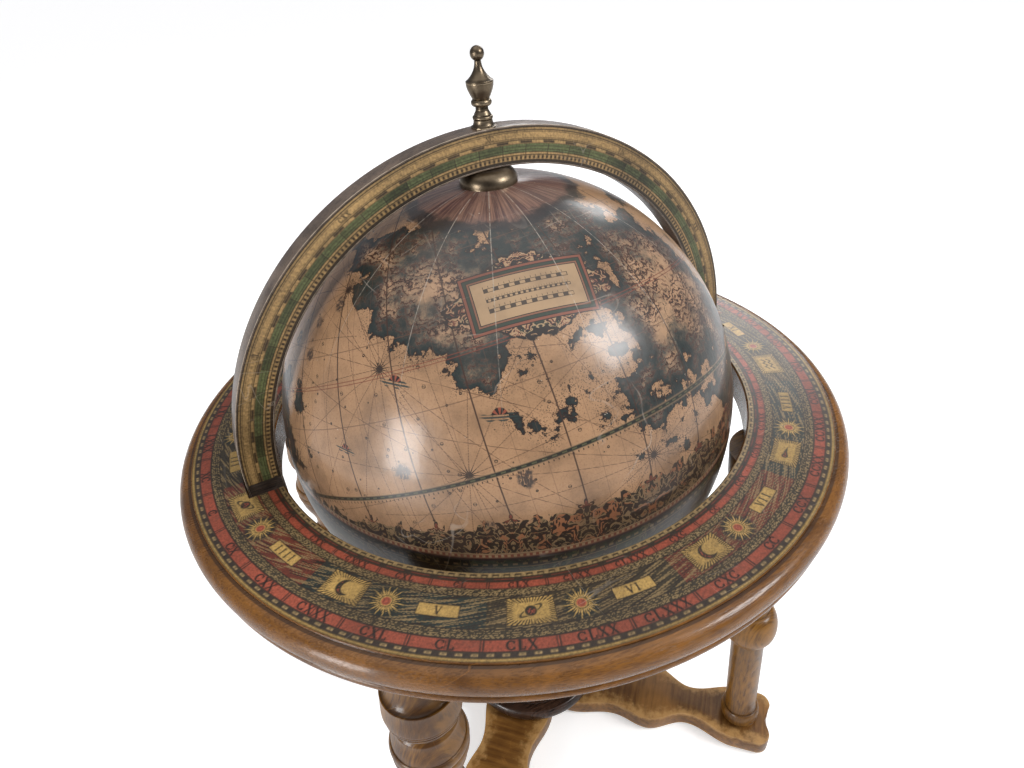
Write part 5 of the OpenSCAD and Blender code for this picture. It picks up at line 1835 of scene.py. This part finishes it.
# %% Finishes on their pieces
finish_with(turned_wood, *legs)
finish_with(board_woods[0], board_lower)
finish_with(board_woods[1], board_upper)
finish_with(dark_wood, rosette, column)
finish_with(ring_finish, ring)
finish_with(arch_finish, arch)
finish_with(sheet_finish, *sheets)
finish_with(scale_finish, *scales)
finish_with(lid_finish, lid)
finish_with(bowl_finish, bowl)
finish_with(old_brass, cap, finial, "hinge_leaf_bowl", "hinge_leaf_lid", "hinge_pin")
finish_with(steel, "leg_screws", "column_washer", "column_screw", "bowl_washer", "bowl_screw",
            "hinge_screws_bowl", "hinge_screws_lid", "pole_rod", "pole_washer", "pole_nut")
finish_with(inner_wood, "ring_dowels", "bowl_rim_band", "lid_rim_band", "rack_floor",
            "rack_posts", "rack_plate", "pole_block")
finish_with(felt, "felt_pads")
print("materials", len(bpy.data.materials))

# %% [markdown]
# The studio is a white floor under a broad overhead light that fades towards the horizon, so the
# sides of the globe fall off darker. Two softboxes make the window patches on the lid, and a third
# the sheen on the ring. Each one stands where its spot mirrors it to the camera, so its place is
# worked out by reflection. The room and the floor look whiter to the camera than they light the
# globe, which keeps the print dark: a Light Path node tells the camera's own rays from the rest.

# %% Softboxes
def softbox(name, spot, normal, reach, size, power):
    """An area light that a spot mirrors to the camera: it lies along r = 2 (v . n) n - v from
    the spot, with n the surface normal there and v the direction to the eye."""
    spot, normal = Vector(spot), Vector(normal)
    to_eye = (camera.location - spot).normalized()
    mirrored = 2 * to_eye.dot(normal) * normal - to_eye
    light = bpy.data.lights.new(name, "AREA")
    light.shape, light.size, light.size_y, light.energy = "RECTANGLE", *size, power
    box = bpy.data.objects.new(name, light)
    box.location = spot + mirrored * reach
    box.rotation_euler = (-mirrored).to_track_quat("-Z", "Y").to_euler()
    bpy.context.scene.collection.objects.link(box)
    print(name, "at", [round(c, 2) for c in box.location])


def on_lid(azimuth, elevation):
    """A spot on the lid and its normal."""
    normal = toward(azimuth, elevation)
    return np.array([0, 0, SEAM_Z]) + normal * GLOBE_R, normal


softbox("window_left", *on_lid(-137, 24), 1.6, (0.46, 0.70), 15)
softbox("window_right", *on_lid(-86, 41), 1.9, (0.70, 0.70), 26)
softbox("window_behind", (0.17, 0.03, RING_TOP), (0, 0, 1), 2.4, (1.3, 0.6), 15)

# %% [markdown]
# The floor is a plain sheet that glows a little to the camera, and the room is a ramp of greys
# looked up by how far upwards a ray goes.

# %% Floor and room
FLOOR_REACH = 30
FLOOR_GLOW = 0.42
ROOM_SEEN = (0.74, 0.74, 0.74)
ROOM_POWER = 1.35

floor_mesh = bpy.data.meshes.new("studio_floor")
corners = [(x * FLOOR_REACH, y * FLOOR_REACH, 0) for x, y in ((-1, -1), (1, -1), (1, 1), (-1, 1))]
floor_mesh.from_pydata(corners, [], [(0, 1, 2, 3)])
floor = bpy.data.objects.new("studio_floor", floor_mesh)
bpy.context.scene.collection.objects.link(floor)


def seen_directly(tree):
    """1 on rays that come straight from the camera, and 0 on all others."""
    return Field(tree, tree.nodes.new("ShaderNodeLightPath").outputs["Is Camera Ray"])


def floor_formula(tree):
    """White paper that glows a little, but only to the camera."""
    return {"Emission_Strength": seen_directly(tree) * FLOOR_GLOW}


finish_with(new_material("white_floor", floor_formula, Base_Color=(0.90, 0.90, 0.90, 1),
                         Roughness=0.7, Emission_Color=(1, 1, 1, 1)), floor)

world = bpy.data.worlds.new("overhead_light")
world.use_nodes = True
room = world.node_tree
background = room.nodes["Background"]
upward = Field(room, room.nodes.new("ShaderNodeTexCoord").outputs["Generated"]).dot((0, 0, 1))
overhead = colour_ramp(room, upward, (0.0, (0.16, 0.165, 0.18)), (0.70, (0.22, 0.22, 0.23)),
                       (0.90, (1.0, 1.0, 1.0)))
feed(room, background.inputs["Color"], overhead.mix(ROOM_SEEN, seen_directly(room)))
background.inputs["Strength"].default_value = ROOM_POWER
bpy.context.scene.world = world
bpy.context.scene.view_settings.view_transform = "Standard"
print("room strength", ROOM_POWER, "floor glow", FLOOR_GLOW)
